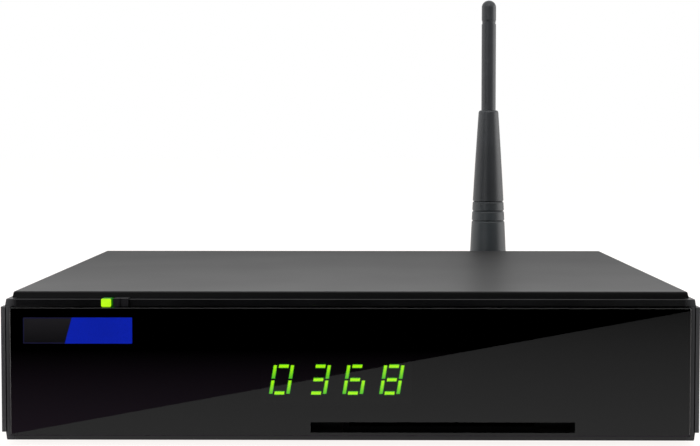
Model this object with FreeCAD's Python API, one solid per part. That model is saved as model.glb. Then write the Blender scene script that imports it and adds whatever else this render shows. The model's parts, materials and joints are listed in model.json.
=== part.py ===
"""Satellite TV receiver with a hinged WLAN antenna, as an assembly of separate sub-parts.

Millimetres, +Z up, the front at -Y and the rear panel at +Y.  The parts are drawn with y = 0 on the
face of the front window and x = 0 in the middle of the case.  save() moves them so that the origin
lies at the middle of the outline, at the height of the feet.
"""
import FreeCAD, Part
import math
import os

from FreeCAD import Vector

# Case, driving dimensions
CASE_WIDTH = 205.0            # over the ribbed cheeks at both ends of the bezel
COVER_TOP = 45.15             # height of the cover above the table
COVER_DEPTH = 148.0           # front lip to rear edge of the cover
FOOT_HEIGHT = 1.8
SHEET = 0.8                   # steel of the cover, the base tray and the rear panel
COVER_INSET = 2.67            # case side to the flat top of the cover
COVER_STEP = 1.85             # height of the raised, drafted top of the cover
COVER_DRAFT = 0.44            # the raised top spreads this much per side towards its foot
EDGE_GAP = 0.06               # play between folded sheets that slide past each other

# Bezel
BEZEL_WALL = 2.2
BEZEL_SETBACK = 3.8           # the cover's front lip stands this far behind the bezel's face
BEZEL_DEPTH = 13.0            # window face to the rear end of the bezel's sides
BEZEL_SILL = 1.3              # height of the strip below the window
LEDGE_THICK = 1.8
LEDGE_DEPTH = 7.0
LEDGE_ROUND = 0.2             # front edge of the ledge
SILL_ROUND = 0.35             # lower edge of the bezel
LEDGE_BAND = 2.3              # height of the ledge's face above the window
OUTLINE_INSETS = (1.15, 0.85, 0.97, 1.35)    # case side to the bezel at foot, cheek foot, cheek top, ledge
CHEEK_LIFT = 2.4              # lower end of the cheek above the bezel's foot
CHEEK_DROP = 2.2              # upper end of the cheek below the ledge
CHEEK_WIDTH = 1.3
CHEEK_FACE = 1.0              # the cheek's front stands this far behind the window face
CHEEK_CORNER = 0.35
FLUTE_COUNT = 3
FLUTE_PITCH = 2.6
FLUTE_RADIUS = 0.7
FLUTE_OUTSIDE = 0.3           # the flutes are centred this far outside the cheek
GROOVE_WIDTH = 0.3            # dark groove between side frame and cheek
SIDE_FRAME_WIDTH = 1.1
SIDE_FRAME_FACE = 1.2         # the side frame's front stands this far behind the window face
SILL_FACE = 1.0
HOOK_WIDTH = 8.0
HOOK_THICK = 1.2
HOOK_INSET = 22.5

# Window and card recess
WINDOW_THICK = 2.4
WINDOW_BEVEL = 0.2
WINDOW_CORNER = 0.5
WINDOW_GAP = 0.2              # shadow gap round the window
SHADOW_DEPTH = 0.8            # groove in the bezel above the window
SHADOW_HEIGHT = 0.3
CARD_RECESS_X = 27.2
CARD_RECESS_WIDTH = 77.4
CARD_RECESS_HEIGHT = 3.1
CARD_RECESS_LIFT = 1.0        # above the lower edge of the window
CARD_WIDTH = 54.0
CARD_PLAY = 1.0
READER_DEPTH = 49.4
READER_SLIT = 1.2
READER_WALL = 2.0

# Power light and standby button
LIGHT_INSET = 30.95           # case side to the middle of the light
LIGHT_WIDTH = 2.95
LIGHT_HEIGHT = 2.4
LIGHT_FACE = 1.6
LIGHT_CORNER = 0.4
LIGHT_RECESS = 2.2            # foot of light and button below the top of the ledge
BUTTON_STEP = 4.25            # middle of the light to the middle of the button
BUTTON_WIDTH = 4.5
BUTTON_HEIGHT = 2.35
BUTTON_FACE = 1.5
BUTTON_CORNER = 0.3
BUTTON_GROOVE = 0.5           # width and depth of the upright finger groove
BUTTON_GAP = 0.2
BUTTON_TRAVEL = 0.5
LED_DEPTH = 1.1
LED_WIDTH = 2.8
LED_HEIGHT = 1.6
TACT_SIZE = 6.0
TACT_DEPTH = 3.1
TACT_CHAMFER = 0.4
TACT_STEP = 0.6               # middle of the button to the middle of the switch
TACT_DROP = 3.4               # below the foot of the button
PLUNGER_RADIUS = 1.7
PLUNGER_REACH = 0.9           # the plunger stands this far out of the switch

# Display and infrared receiver
DISPLAY_X = -3.86
DISPLAY_LIFT = 16.33          # middle of the digits above the lower edge of the window
DISPLAY_WIDTH = 43.8
DISPLAY_HEIGHT = 14.0
DISPLAY_DEPTH = 7.3
DIGIT_PITCH = 10.8
DIGIT_HEIGHT = 9.0
DIGIT_WIDTH = 6.1
DIGIT_SLANT = 9.4             # degrees
BAR_WIDTH = 1.06
BAR_GAP = 0.55
BAR_SPLIT = 0.6               # between the upper and the lower side bars
BAR_STEP = 0.3                # the side bars end this far inside the digit's height
BAR_DEPTH = 0.3
DISPLAY_DIGITS = (0, 3, 6, 8)
RECEIVER_STEP = 33.86         # middle of the display to the receiver
RECEIVER_RADIUS = 2.6
RECEIVER_WIDTH = 6.0
RECEIVER_HEIGHT = 7.0
RECEIVER_DEPTH = 4.6

# Emblem plate
EMBLEM_INSET = 3.99           # from the left edge of the window
EMBLEM_DROP = 2.84            # below the upper edge of the window
EMBLEM_WIDTH = 31.95
EMBLEM_HEIGHT = 7.65
EMBLEM_THICK = 0.25
EMBLEM_CORNER = 0.2
EMBLEM_SPLIT = (12.2, 14.3)   # foot and head of the slanted joint, from the plate's left edge

# Boards
BOARD_THICK = 1.6
BOARD_MARGIN = 3.47           # between the tray's side and the main board
BOARD_FRONT_GAP = 2.8         # between the boards
BOARD_REAR_GAP = 1.0
BOARD_CORNER = 2.0
BOARD_HOLE_INSET = 6.0
STANDOFF_HEIGHT = 6.0
STANDOFF_WIDTH = 5.0
FRONT_BOARD_SETBACK = 5.5     # behind the bezel's wall
FRONT_BOARD_INSET = 8.5
FRONT_BOARD_RIGHT = 50.0
FRONT_BOARD_LIFT = 2.4        # above the tray's front flange
FRONT_BOARD_DROP = 0.7        # below the top of the ledge
SCREW_RADIUS = 1.1
SCREW_HEAD_RADIUS = 2.2
SCREW_HEAD_HEIGHT = 1.5
SCREW_PLAY = 0.2
SHORT_SCREW = 5.0
BOSS_RADIUS = 2.6
BOSS_INSET = 4.0

# Chips and other parts on the main board
CHIP_X = 10.0
CHIP_SIZE = 27.0
CHIP_HEIGHT = 2.0
CHIP_CORNER = 0.5
SINK_SIZE = 40.0
SINK_BASE = 2.5
SINK_FIN_HEIGHT = 9.5
SINK_FIN_COUNT = 9
SINK_FIN_THICK = 1.2
MEMORY_STEP = 32.0            # middle of the main chip to the memory chips beside it
MEMORY_WIDTH = 9.0
MEMORY_LENGTH = 13.0
MEMORY_HEIGHT = 1.1
FLASH_STEP = 34.0
FLASH_WIDTH = 14.0
FLASH_LENGTH = 18.0
CRYSTAL_STEP = (22.0, -26.0)
CRYSTAL_WIDTH = 4.6
CRYSTAL_LENGTH = 10.5
CRYSTAL_HEIGHT = 3.4
CAPACITOR_RADIUS = 4.0
CAPACITOR_HEIGHT = 11.5
CAPACITOR_BEAD = 0.35         # depth of the rolled bead
CAPACITOR_BEAD_LIFT = 1.8
CAPACITOR_STEPS = ((-6.0, 33.8), (4.0, 33.8), (-6.0, 44.8), (26.0, 39.8))    # from supply socket, rear edge
INDUCTOR_SIZE = 8.0
INDUCTOR_HEIGHT = 4.2
INDUCTOR_CORNER = 1.5
INDUCTOR_STEPS = ((-20.0, 47.8), (14.0, 47.8), (-20.0, 59.8))

# Flat cable between the boards
CABLE_X = -40.0
CABLE_WIDTH = 13.0
CABLE_THICK = 0.3
CABLE_BEND = 6.0
CABLE_REACH = 19.5            # front edge of the main board to the flat socket
SOCKET_SIDE = 1.5             # the sockets are this much wider than the cable on each side
SOCKET_HEIGHT = 2.6
SOCKET_LENGTH = 5.0
SOCKET_LIFT = 12.0            # upright socket above the lower edge of the front board

# Rear ports, as places across the case
TUNER_INSET = 24.5            # case side to the middle of the tuner
TUNER_WIDTH = 33.0
TUNER_DEPTH = 46.0
TUNER_HEIGHT = 13.5
TUNER_AXIS_LIFT = 6.8
SATELLITE_STEP = 8.0          # middle of the tuner to the satellite input
AERIAL_STEP = 8.5             # and to the aerial input on its other side
WLAN_STEP = 21.1
HDMI_X = 38.0
USB_X = 17.0
LAN_X = -5.5
OPTICAL_X = -26.0
AV_X = -41.0
DC_X = -56.0
SWITCH_INSET = 22.5
SWITCH_DROP = 22.15           # middle of the switch below the top of the cover
PORT_PROUD = 0.6              # the ports stand this far out of the rear panel
PORT_PLAY = 0.3
PORT_CORNER = 0.4             # corners of the cut-outs in the rear panel

# Antenna
WLAN_DROP = 15.15             # antenna jack below the top of the cover
THREAD_RADIUS = 3.17
THREAD_PLAY = 0.02
COUPLING_RADIUS = 4.6
COUPLING_LENGTH = 10.6
KNUCKLE_RADIUS = 4.3
PIVOT_REACH = 22.7            # rear panel to hinge axis
SLEEVE_BASE_RADIUS = 8.1
SLEEVE_TOP_RADIUS = 4.1
SLEEVE_LENGTH = 72.5          # hinge axis to the top of the sleeve
SLEEVE_BARREL = 0.25          # the taper bulges by this much in its middle
SLEEVE_SHOULDER = 0.8         # rounding of the sleeve's upper end, in two steps
SHOULDER_STEPS = ((0.3, 0.3), (0.8, 0.0))    # inward and down from the end, as shares of the shoulder
ROD_RADIUS = 3.0
ROD_SEAT = 40.0               # the rod goes this deep into the sleeve
ANTENNA_LENGTH = 118.4        # hinge axis to the tip
CAP_LENGTH = 9.9
CAP_DOME = 2.9
CAP_GROOVE_DEPTH = 0.22
CAP_GROOVE_HEIGHT = 1.8
RING_GROOVES = (26.2, 30.3, 34.3)    # above the hinge axis
RING_GROOVE_DEPTH = 0.4
RING_GROOVE_WIDTH = 1.0
SLEEVE_STATIONS = 12          # straight steps that make up the barrelled taper
TONGUE_WIDTH = 4.6
TONGUE_RADIUS = 4.2
HINGE_GAP = 0.3
PIN_RADIUS = 1.25
RUNNING_GAP = 0.05

# Feet
FOOT_RADIUS = 6.5
FOOT_ROUND = 0.8
FOOT_INSET_X = 14.0
FOOT_INSET_Y = 16.0

# Cover screws, folds and vents
COVER_SCREW_RADIUS = 1.5
COVER_SCREW_HEAD = 2.9
COVER_SCREW_LIFT = 5.5
COVER_SCREW_LENGTH = 3.6
COVER_SCREW_INSETS = (32.0, 28.0)    # from the front lip and from the rear edge
REAR_SCREW_LENGTH = 4.5
REAR_SCREW_DROP = 5.2
REAR_TAB_WIDTH = 12.0
REAR_TAB_HEIGHT = 8.0
REAR_TAB_INSET = 14.5
REAR_SETBACK = 0.6            # the rear panel lies this far inside the cover's rear edge
FLANGE_HEIGHT = 10.0
FRONT_FLANGE_HEIGHT = 6.4
REAR_FLANGE_DEPTH = 8.0
REAR_FOOT_DEPTH = 6.0
REAR_FLANGE_INSET = 21.0
FOLD_RADIUS = 0.45
SIDE_VENT_COUNT = 15
SIDE_VENT_PITCH = 5.5
SIDE_VENT_WIDTH = 2.4
SIDE_VENT_START = 39.8        # behind the cover's front lip
SIDE_VENT_LIFT = 15.0
SIDE_VENT_LENGTH = 16.0
FLOOR_VENT_COUNT = 11
FLOOR_VENT_PITCH = 6.0
FLOOR_VENT_LENGTH = 26.0
FLOOR_VENT_WIDTH = 2.2
FLOOR_VENT_ROWS = (-21.0, 17.0)    # before and behind the middle of the main chip

CUT_OVER = 1.0                # cutting shapes stand this far out of what they cut
TOUCH = 0.01                  # points this close count as lying on a face
ROUND_END = 0.45              # corner radius of a slot with round ends, as a share of its width

# Places that follow from the sizes above
HALF_CASE = CASE_WIDTH / 2
HALF_COVER = HALF_CASE - COVER_INSET
HALF_SIDE = HALF_COVER + COVER_DRAFT
HALF_TRAY = HALF_SIDE - SHEET
SIDE_FRAME_OUTER = HALF_CASE - CHEEK_WIDTH - GROOVE_WIDTH
HALF_WINDOW = SIDE_FRAME_OUTER - SIDE_FRAME_WIDTH - WINDOW_GAP

CASE_BOTTOM = FOOT_HEIGHT
FLOOR_TOP = CASE_BOTTOM + SHEET
LEDGE_TOP = COVER_TOP - COVER_STEP
PANEL_TOP = COVER_TOP - SHEET
SILL_TOP = CASE_BOTTOM + BEZEL_SILL
WINDOW_BOTTOM = SILL_TOP + WINDOW_GAP
WINDOW_TOP = LEDGE_TOP - LEDGE_BAND
CHEEK_BOTTOM = CASE_BOTTOM + CHEEK_LIFT
CHEEK_TOP = LEDGE_TOP - CHEEK_DROP
FLANGE_TOP = CASE_BOTTOM + FRONT_FLANGE_HEIGHT
BOARD_BOTTOM = FLOOR_TOP + STANDOFF_HEIGHT
BOARD_TOP = BOARD_BOTTOM + BOARD_THICK

BEZEL_FACE = WINDOW_THICK
BEZEL_BACK = BEZEL_FACE + BEZEL_WALL
LEDGE_BACK = BEZEL_FACE + LEDGE_DEPTH
LIP = BEZEL_FACE + BEZEL_SETBACK
TRAY_FRONT = LEDGE_BACK
REAR_EDGE = LIP + COVER_DEPTH
REAR_FACE = REAR_EDGE - REAR_SETBACK
REAR_INNER = REAR_FACE - SHEET
PORT_FACE = REAR_FACE + PORT_PROUD
FRONT_BOARD_FACE = BEZEL_BACK + FRONT_BOARD_SETBACK
FRONT_BOARD_BACK = FRONT_BOARD_FACE + BOARD_THICK
BOARD_FRONT = FRONT_BOARD_BACK + BOARD_FRONT_GAP
BOARD_BACK = REAR_INNER - BOARD_REAR_GAP
HALF_BOARD = HALF_TRAY - BOARD_MARGIN

CARD_RECESS_BOTTOM = WINDOW_BOTTOM + CARD_RECESS_LIFT
CARD_PLANE = CARD_RECESS_BOTTOM + CARD_RECESS_HEIGHT / 2
READER_WIDTH = CARD_WIDTH + 2 * READER_WALL
READER_BOTTOM = CARD_PLANE - 2 * READER_SLIT

KEY_SILL = LEDGE_TOP - LIGHT_RECESS
LIGHT_X = -HALF_CASE + LIGHT_INSET
BUTTON_X = LIGHT_X + BUTTON_STEP
TACT_X = BUTTON_X + TACT_STEP
TACT_Z = KEY_SILL - TACT_DROP
DISPLAY_Z = WINDOW_BOTTOM + DISPLAY_LIFT
DISPLAY_FACE = FRONT_BOARD_FACE - DISPLAY_DEPTH
RECEIVER_X = DISPLAY_X + RECEIVER_STEP
RECEIVER_Z = DISPLAY_Z
EMBLEM_LEFT = -HALF_WINDOW + EMBLEM_INSET
EMBLEM_TOP = WINDOW_TOP - EMBLEM_DROP
FRONT_BOARD_LEFT = -HALF_CASE + FRONT_BOARD_INSET
FRONT_BOARD_BOTTOM = FLANGE_TOP + FRONT_BOARD_LIFT
FRONT_BOARD_TOP = LEDGE_TOP - FRONT_BOARD_DROP
CHIP_Y = (BOARD_FRONT + BOARD_BACK) / 2

TUNER_X = HALF_CASE - TUNER_INSET
TUNER_AXIS_Z = BOARD_TOP + TUNER_AXIS_LIFT
SATELLITE_X = TUNER_X + SATELLITE_STEP
AERIAL_X = TUNER_X - AERIAL_STEP
WLAN_X = TUNER_X - WLAN_STEP
WLAN_Z = COVER_TOP - WLAN_DROP
SWITCH_X = -HALF_CASE + SWITCH_INSET
SWITCH_Z = COVER_TOP - SWITCH_DROP
PIVOT_Y = REAR_FACE + PIVOT_REACH
REARMOST = PIVOT_Y + SLEEVE_BASE_RADIUS
CENTRE_Y = (REARMOST - EMBLEM_THICK) / 2

ALONG_X = Vector(1, 0, 0)
ALONG_Y = Vector(0, 1, 0)
ALONG_Z = Vector(0, 0, 1)


# Building blocks

def block(x_span, y_span, z_span):
    """Box between two values on each axis."""
    size = [high - low for low, high in (x_span, y_span, z_span)]
    return Part.makeBox(*size, Vector(x_span[0], y_span[0], z_span[0]))


def around(centre, width):
    """Span of a width about its centre."""
    return (centre - width / 2, centre + width / 2)


def cylinder(radius, start, axis, length):
    return Part.makeCylinder(radius, length, start, axis)


def join(shapes):
    """One shape from several that touch or overlap."""
    first, *rest = shapes
    return first.multiFuse(rest).removeSplitter() if rest else first


def outline(corners, radius=0.0):
    """Closed wire through the corners, each rounded to the radius."""
    if radius <= 0:
        return Part.makePolygon(corners + corners[:1])
    edges = []
    joints = []
    count = len(corners)
    for index, corner in enumerate(corners):
        back = (corners[index - 1] - corner).normalize()
        ahead = (corners[(index + 1) % count] - corner).normalize()
        half_angle = back.getAngle(ahead) / 2
        reach = radius / math.tan(half_angle)
        bisector = (back + ahead).normalize()
        centre = corner + bisector * (radius / math.sin(half_angle))
        joints.append((corner + back * reach, centre - bisector * radius, corner + ahead * reach))
    for index, (start, middle, end) in enumerate(joints):
        following = joints[(index + 1) % count][0]
        edges.append(Part.Arc(start, middle, end).toShape())
        edges.append(Part.LineSegment(end, following).toShape())
    return Part.Wire(edges)


def prism(corners, travel, radius=0.0):
    return Part.Face(outline(corners, radius)).extrude(travel)


def front_plate(x_span, z_span, y_span, radius):
    """Rounded plate that faces the front."""
    corners = [
        Vector(x_span[0], y_span[0], z_span[0]),
        Vector(x_span[1], y_span[0], z_span[0]),
        Vector(x_span[1], y_span[0], z_span[1]),
        Vector(x_span[0], y_span[0], z_span[1]),
    ]
    return prism(corners, ALONG_Y * (y_span[1] - y_span[0]), radius)


def flat_plate(x_span, y_span, z_span, radius):
    """Rounded plate that lies flat."""
    corners = [
        Vector(x_span[0], y_span[0], z_span[0]),
        Vector(x_span[1], y_span[0], z_span[0]),
        Vector(x_span[1], y_span[1], z_span[0]),
        Vector(x_span[0], y_span[1], z_span[0]),
    ]
    return prism(corners, ALONG_Z * (z_span[1] - z_span[0]), radius)


def turned(profile, centre, axis):
    """Solid of revolution from (radius, distance along the axis) points."""
    side = ALONG_Z if abs(axis.x) > 0.5 else ALONG_X
    points = [centre + side * radius + axis * distance for radius, distance in profile]
    return Part.Face(Part.makePolygon(points + points[:1])).revolve(centre, axis, 360)


def edges_where(shape, test):
    """Edges whose ends all pass a test."""
    return [edge for edge in shape.Edges if all(test(vertex.Point) for vertex in edge.Vertexes)]


def mirrored(shape):
    """The same shape on the other side of the case."""
    return shape.mirror(Vector(0, 0, 0), ALONG_X)


def hex_prism(across_flats, start, axis, length):
    """Hexagonal bar along Y or Z, with a flat to the side."""
    corner = across_flats / math.sqrt(3)
    side, other = (ALONG_X, ALONG_Z) if axis == ALONG_Y else (ALONG_X, ALONG_Y)
    corners = []
    for step in range(6):
        angle = math.radians(60 * step + 30)
        corners.append(start + side * (corner * math.cos(angle)) + other * (corner * math.sin(angle)))
    return prism(corners, axis * length)


# Cross recess and crown of the screws, as shares of the head's radius and height
HEAD_CROWN = 0.6
CROSS_REACH = 0.5
CROSS_HALF_WIDTH = 0.16
CROSS_DEPTH = 0.6


def screw(head_seat, axis, shank_length, radius=SCREW_RADIUS, head=SCREW_HEAD_RADIUS):
    """Pan head screw with a cross recess: the head stands on its seat, the shank goes along the axis."""
    profile = [
        (0, -SCREW_HEAD_HEIGHT),
        (head * HEAD_CROWN, -SCREW_HEAD_HEIGHT),
        (head, -SCREW_HEAD_HEIGHT * 0.5),
        (head, 0),
        (radius, 0),
        (radius, shank_length),
        (0, shank_length),
    ]
    body = turned(profile, head_seat, axis)
    start = head_seat - axis * SCREW_HEAD_HEIGHT
    side = ALONG_Z if abs(axis.x) > 0.5 else ALONG_X
    other = axis.cross(side)
    long_arm = head * CROSS_REACH
    half_width = head * CROSS_HALF_WIDTH
    for along, across in ((side, other), (other, side)):
        corners = [
            start + along * long_arm + across * half_width,
            start - along * long_arm + across * half_width,
            start - along * long_arm - across * half_width,
            start + along * long_arm - across * half_width,
        ]
        body = body.cut(prism(corners, axis * (SCREW_HEAD_HEIGHT * CROSS_DEPTH)))
    return body


def upright_slot(x_span, y_centre, width, z_span):
    """Slot with round ends, cut through a side wall."""
    half = width / 2
    corners = [
        Vector(x_span[0], y_centre - half, z_span[0]),
        Vector(x_span[0], y_centre + half, z_span[0]),
        Vector(x_span[0], y_centre + half, z_span[1]),
        Vector(x_span[0], y_centre - half, z_span[1]),
    ]
    return prism(corners, ALONG_X * (x_span[1] - x_span[0]), width * ROUND_END)


def save(name, *solids):
    """Write one sub-part, moved to the part's origin."""
    shape = solids[0] if len(solids) == 1 else Part.makeCompound(list(solids))
    shape = shape.copy()
    shape.translate(Vector(0, -CENTRE_Y, 0))
    if not shape.isValid():
        print("not valid:", name)
    shape.exportStep(f"parts/{name}.step")


# Case

def cover_section(inset, z_foot):
    """Cross-section of the cover's outside, moved in by an inset."""
    top = COVER_TOP - inset
    return [
        (-HALF_SIDE + inset, z_foot),
        (HALF_SIDE - inset, z_foot),
        (HALF_SIDE - inset, LEDGE_TOP),
        (HALF_COVER - inset, top),
        (-HALF_COVER + inset, top),
        (-HALF_SIDE + inset, LEDGE_TOP),
    ]


def section_prism(section, y_span):
    corners = [Vector(x, y_span[0], z) for x, z in section]
    return prism(corners, ALONG_Y * (y_span[1] - y_span[0]))


def cover_screw_places():
    """Distance from the front and height of the screws in each side."""
    front, rear = COVER_SCREW_INSETS
    z = CASE_BOTTOM + COVER_SCREW_LIFT
    return [(LIP + front, z), (REAR_EDGE - rear, z)]


def rear_screw_places():
    """Place across the case and height of the screws in the rear panel."""
    x = HALF_CASE - REAR_TAB_INSET
    z = COVER_TOP - REAR_SCREW_DROP
    return [(-x, z), (x, z)]


def screw_holes(radius, x_span):
    """Holes for the cover screws, through both sides between two distances from the middle."""
    holes = []
    for y, z in cover_screw_places():
        hole = cylinder(radius, Vector(x_span[0], y, z), ALONG_X, x_span[1] - x_span[0])
        holes += [hole, mirrored(hole)]
    return holes


def side_vents(x_span):
    """Upright slots in both sides."""
    foot = CASE_BOTTOM + SIDE_VENT_LIFT
    vents = []
    for step in range(SIDE_VENT_COUNT):
        y = LIP + SIDE_VENT_START + step * SIDE_VENT_PITCH
        vent = upright_slot(x_span, y, SIDE_VENT_WIDTH, (foot, foot + SIDE_VENT_LENGTH))
        vents += [vent, mirrored(vent)]
    return vents


def top_cover():
    """Folded steel cover: raised drafted top, front lip, two vented sides and two rear tabs."""
    raised_outer = section_prism(cover_section(0, LEDGE_TOP), (LIP, REAR_EDGE))
    hollow_foot = LEDGE_TOP - CUT_OVER
    raised_inner = section_prism(cover_section(SHEET, hollow_foot), (LIP + SHEET, REAR_EDGE + CUT_OVER))
    raised = raised_outer.cut(raised_inner)
    side = block(
        (HALF_SIDE - SHEET, HALF_SIDE),
        (LEDGE_BACK + WINDOW_GAP, REAR_EDGE),
        (CASE_BOTTOM + SHEET / 2, LEDGE_TOP),
    )
    tab_y = (REAR_INNER - SHEET, REAR_INNER)
    tab_z = (PANEL_TOP - REAR_TAB_HEIGHT, PANEL_TOP)
    tabs = [block(around(x, REAR_TAB_WIDTH), tab_y, tab_z) for x, z in rear_screw_places()]
    cover = join([raised, side, mirrored(side)] + tabs)
    corners = edges_where(
        cover,
        lambda p: p.z > COVER_TOP - TOUCH and (abs(p.x) > HALF_COVER - TOUCH or p.y < LIP + TOUCH),
    )
    cover = cover.makeFillet(FOLD_RADIUS, corners)
    side_span = (HALF_SIDE - 2 * SHEET, HALF_SIDE + SHEET)
    cuts = side_vents(side_span) + screw_holes(COVER_SCREW_RADIUS + SCREW_PLAY, side_span)
    for x, z in rear_screw_places():
        cuts.append(cylinder(COVER_SCREW_RADIUS, Vector(x, REAR_INNER - 2 * SHEET, z), ALONG_Y, 3 * SHEET))
    return cover.cut(cuts)


def rear_openings():
    """Cut-outs of the rear panel for every port."""
    depth = (REAR_INNER - CUT_OVER, REAR_FACE + CUT_OVER)
    openings = []

    def window(x, width, foot, height):
        z_span = (foot - PORT_PLAY, foot + height + PORT_PLAY)
        openings.append(front_plate(around(x, width + 2 * PORT_PLAY), z_span, depth, PORT_CORNER))

    def hole(x, z, radius):
        openings.append(cylinder(radius, Vector(x, depth[0], z), ALONG_Y, depth[1] - depth[0]))

    window(HDMI_X, HDMI_WIDTH, BOARD_TOP, HDMI_HEIGHT)
    window(USB_X, USB_WIDTH, BOARD_TOP, USB_HEIGHT)
    window(LAN_X, LAN_WIDTH, BOARD_TOP, LAN_HEIGHT)
    window(OPTICAL_X, OPTICAL_WIDTH, BOARD_TOP, OPTICAL_HEIGHT)
    window(SWITCH_X, SWITCH_BODY_WIDTH, SWITCH_Z - SWITCH_BODY_HEIGHT / 2, SWITCH_BODY_HEIGHT)
    hole(SATELLITE_X, TUNER_AXIS_Z, SATELLITE_NECK_RADIUS + PORT_PLAY)
    hole(AERIAL_X, TUNER_AXIS_Z, AERIAL_RADIUS + PORT_PLAY)
    hole(WLAN_X, WLAN_Z, THREAD_RADIUS + THREAD_PLAY)
    hole(AV_X, AV_Z, AV_COLLAR_RADIUS + PORT_PLAY)
    hole(DC_X, DC_Z, DC_COLLAR_RADIUS + PORT_PLAY)
    for x, z in rear_screw_places():
        hole(x, z, COVER_SCREW_RADIUS + SCREW_PLAY)
    return openings


def rear_panel():
    """Steel rear wall with the port cut-outs, a flange under the cover and a foot welded to the floor."""
    wall = section_prism(cover_section(SHEET, FLOOR_TOP), (REAR_INNER, REAR_FACE))
    half_flange = HALF_CASE - REAR_FLANGE_INSET
    flange = block(
        (-half_flange, half_flange),
        (REAR_INNER - REAR_FLANGE_DEPTH, REAR_FACE),
        (PANEL_TOP - SHEET, PANEL_TOP),
    )
    foot = block(
        (-half_flange, half_flange),
        (REAR_INNER - REAR_FOOT_DEPTH, REAR_FACE),
        (FLOOR_TOP, FLOOR_TOP + SHEET),
    )
    return join([wall, flange, foot]).cut(rear_openings())


def floor_vents():
    """Two rows of slots in the floor, under the warm chips."""
    vents = []
    z_span = (CASE_BOTTOM - CUT_OVER, FLOOR_TOP + CUT_OVER)
    for row in FLOOR_VENT_ROWS:
        y_span = around(CHIP_Y + row, FLOOR_VENT_LENGTH)
        for step in range(FLOOR_VENT_COUNT):
            x = (step - (FLOOR_VENT_COUNT - 1) / 2) * FLOOR_VENT_PITCH
            x_span = around(x, FLOOR_VENT_WIDTH)
            vents.append(flat_plate(x_span, y_span, z_span, FLOOR_VENT_WIDTH * ROUND_END))
    return vents


def base_tray():
    """Folded steel tray: floor, side flanges and front flange, each with its bends."""
    floor = block((-HALF_TRAY, HALF_TRAY), (TRAY_FRONT, REAR_FACE), (CASE_BOTTOM, FLOOR_TOP))
    side = block(
        (HALF_TRAY - SHEET, HALF_TRAY),
        (TRAY_FRONT, REAR_INNER - EDGE_GAP),
        (CASE_BOTTOM, CASE_BOTTOM + FLANGE_HEIGHT),
    )
    front = block((-HALF_TRAY, HALF_TRAY), (TRAY_FRONT, TRAY_FRONT + SHEET), (CASE_BOTTOM, FLANGE_TOP))
    tray = join([floor, side, mirrored(side), front])
    lower = edges_where(
        tray,
        lambda p: p.z < CASE_BOTTOM + TOUCH and (abs(p.x) > HALF_TRAY - TOUCH or p.y > REAR_FACE - TOUCH),
    )
    tray = tray.makeFillet(FOLD_RADIUS, lower)
    reader_gap = block(
        around(CARD_RECESS_X, READER_WIDTH + 2 * PORT_PLAY),
        (TRAY_FRONT - CUT_OVER, TRAY_FRONT + SHEET + CUT_OVER),
        (READER_BOTTOM - PORT_PLAY, FLANGE_TOP + CUT_OVER),
    )
    cuts = [reader_gap] + floor_vents()
    cuts += screw_holes(COVER_SCREW_RADIUS, (HALF_TRAY - 2 * SHEET, HALF_TRAY + SHEET))
    return tray.cut(cuts)


def cover_screws():
    """Four screws in the sides and two in the rear panel."""
    screws = []
    for y, z in cover_screw_places():
        seat = Vector(HALF_SIDE, y, z)
        right = screw(seat, -ALONG_X, COVER_SCREW_LENGTH, COVER_SCREW_RADIUS, COVER_SCREW_HEAD)
        screws += [right, mirrored(right)]
    for x, z in rear_screw_places():
        seat = Vector(x, REAR_FACE, z)
        screws.append(screw(seat, -ALONG_Y, REAR_SCREW_LENGTH, COVER_SCREW_RADIUS, COVER_SCREW_HEAD))
    return screws


def rubber_feet():
    """Four round feet with a sloped lower edge, stuck under the tray."""
    feet = []
    profile = [
        (0, 0),
        (FOOT_RADIUS - FOOT_ROUND, 0),
        (FOOT_RADIUS, FOOT_ROUND),
        (FOOT_RADIUS, FOOT_HEIGHT),
        (0, FOOT_HEIGHT),
    ]
    for x in (-HALF_TRAY + FOOT_INSET_X, HALF_TRAY - FOOT_INSET_X):
        for y in (TRAY_FRONT + FOOT_INSET_Y, REAR_FACE - FOOT_INSET_Y):
            feet.append(turned(profile, Vector(x, y, 0), ALONG_Z))
    return feet


# Front

def bezel_section():
    """Front outline of the bezel without its cheeks."""
    heights = (CASE_BOTTOM, CHEEK_BOTTOM, CHEEK_TOP + EDGE_GAP, LEDGE_TOP)
    right = [(HALF_CASE - inset, z) for inset, z in zip(OUTLINE_INSETS, heights)]
    left = [(-x, z) for x, z in reversed(right)]
    return right + left


def bezel_cheek():
    """Right cheek: a proud strip with a rounded front corner and grip flutes outside."""
    cheek = block(
        (HALF_CASE - CHEEK_WIDTH, HALF_CASE), (CHEEK_FACE, BEZEL_DEPTH), (CHEEK_BOTTOM, CHEEK_TOP)
    )
    front_edges = edges_where(cheek, lambda p: p.x > HALF_CASE - TOUCH and p.y < CHEEK_FACE + TOUCH)
    cheek = cheek.makeFillet(CHEEK_CORNER, front_edges)
    flutes = []
    for step in range(FLUTE_COUNT):
        y = BEZEL_DEPTH - (FLUTE_COUNT - step) * FLUTE_PITCH
        foot = Vector(HALF_CASE + FLUTE_OUTSIDE, y, CHEEK_BOTTOM - CUT_OVER)
        flutes.append(cylinder(FLUTE_RADIUS, foot, ALONG_Z, CHEEK_TOP - CHEEK_BOTTOM + 2 * CUT_OVER))
    return cheek.cut(flutes)


def board_bosses():
    """Places of the four bosses that carry the front board."""
    return [
        (x, z)
        for x in (FRONT_BOARD_LEFT + BOSS_INSET, FRONT_BOARD_RIGHT - BOSS_INSET)
        for z in (FRONT_BOARD_BOTTOM + BOSS_INSET, FRONT_BOARD_TOP - BOSS_INSET - BOARD_THICK)
    ]


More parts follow.
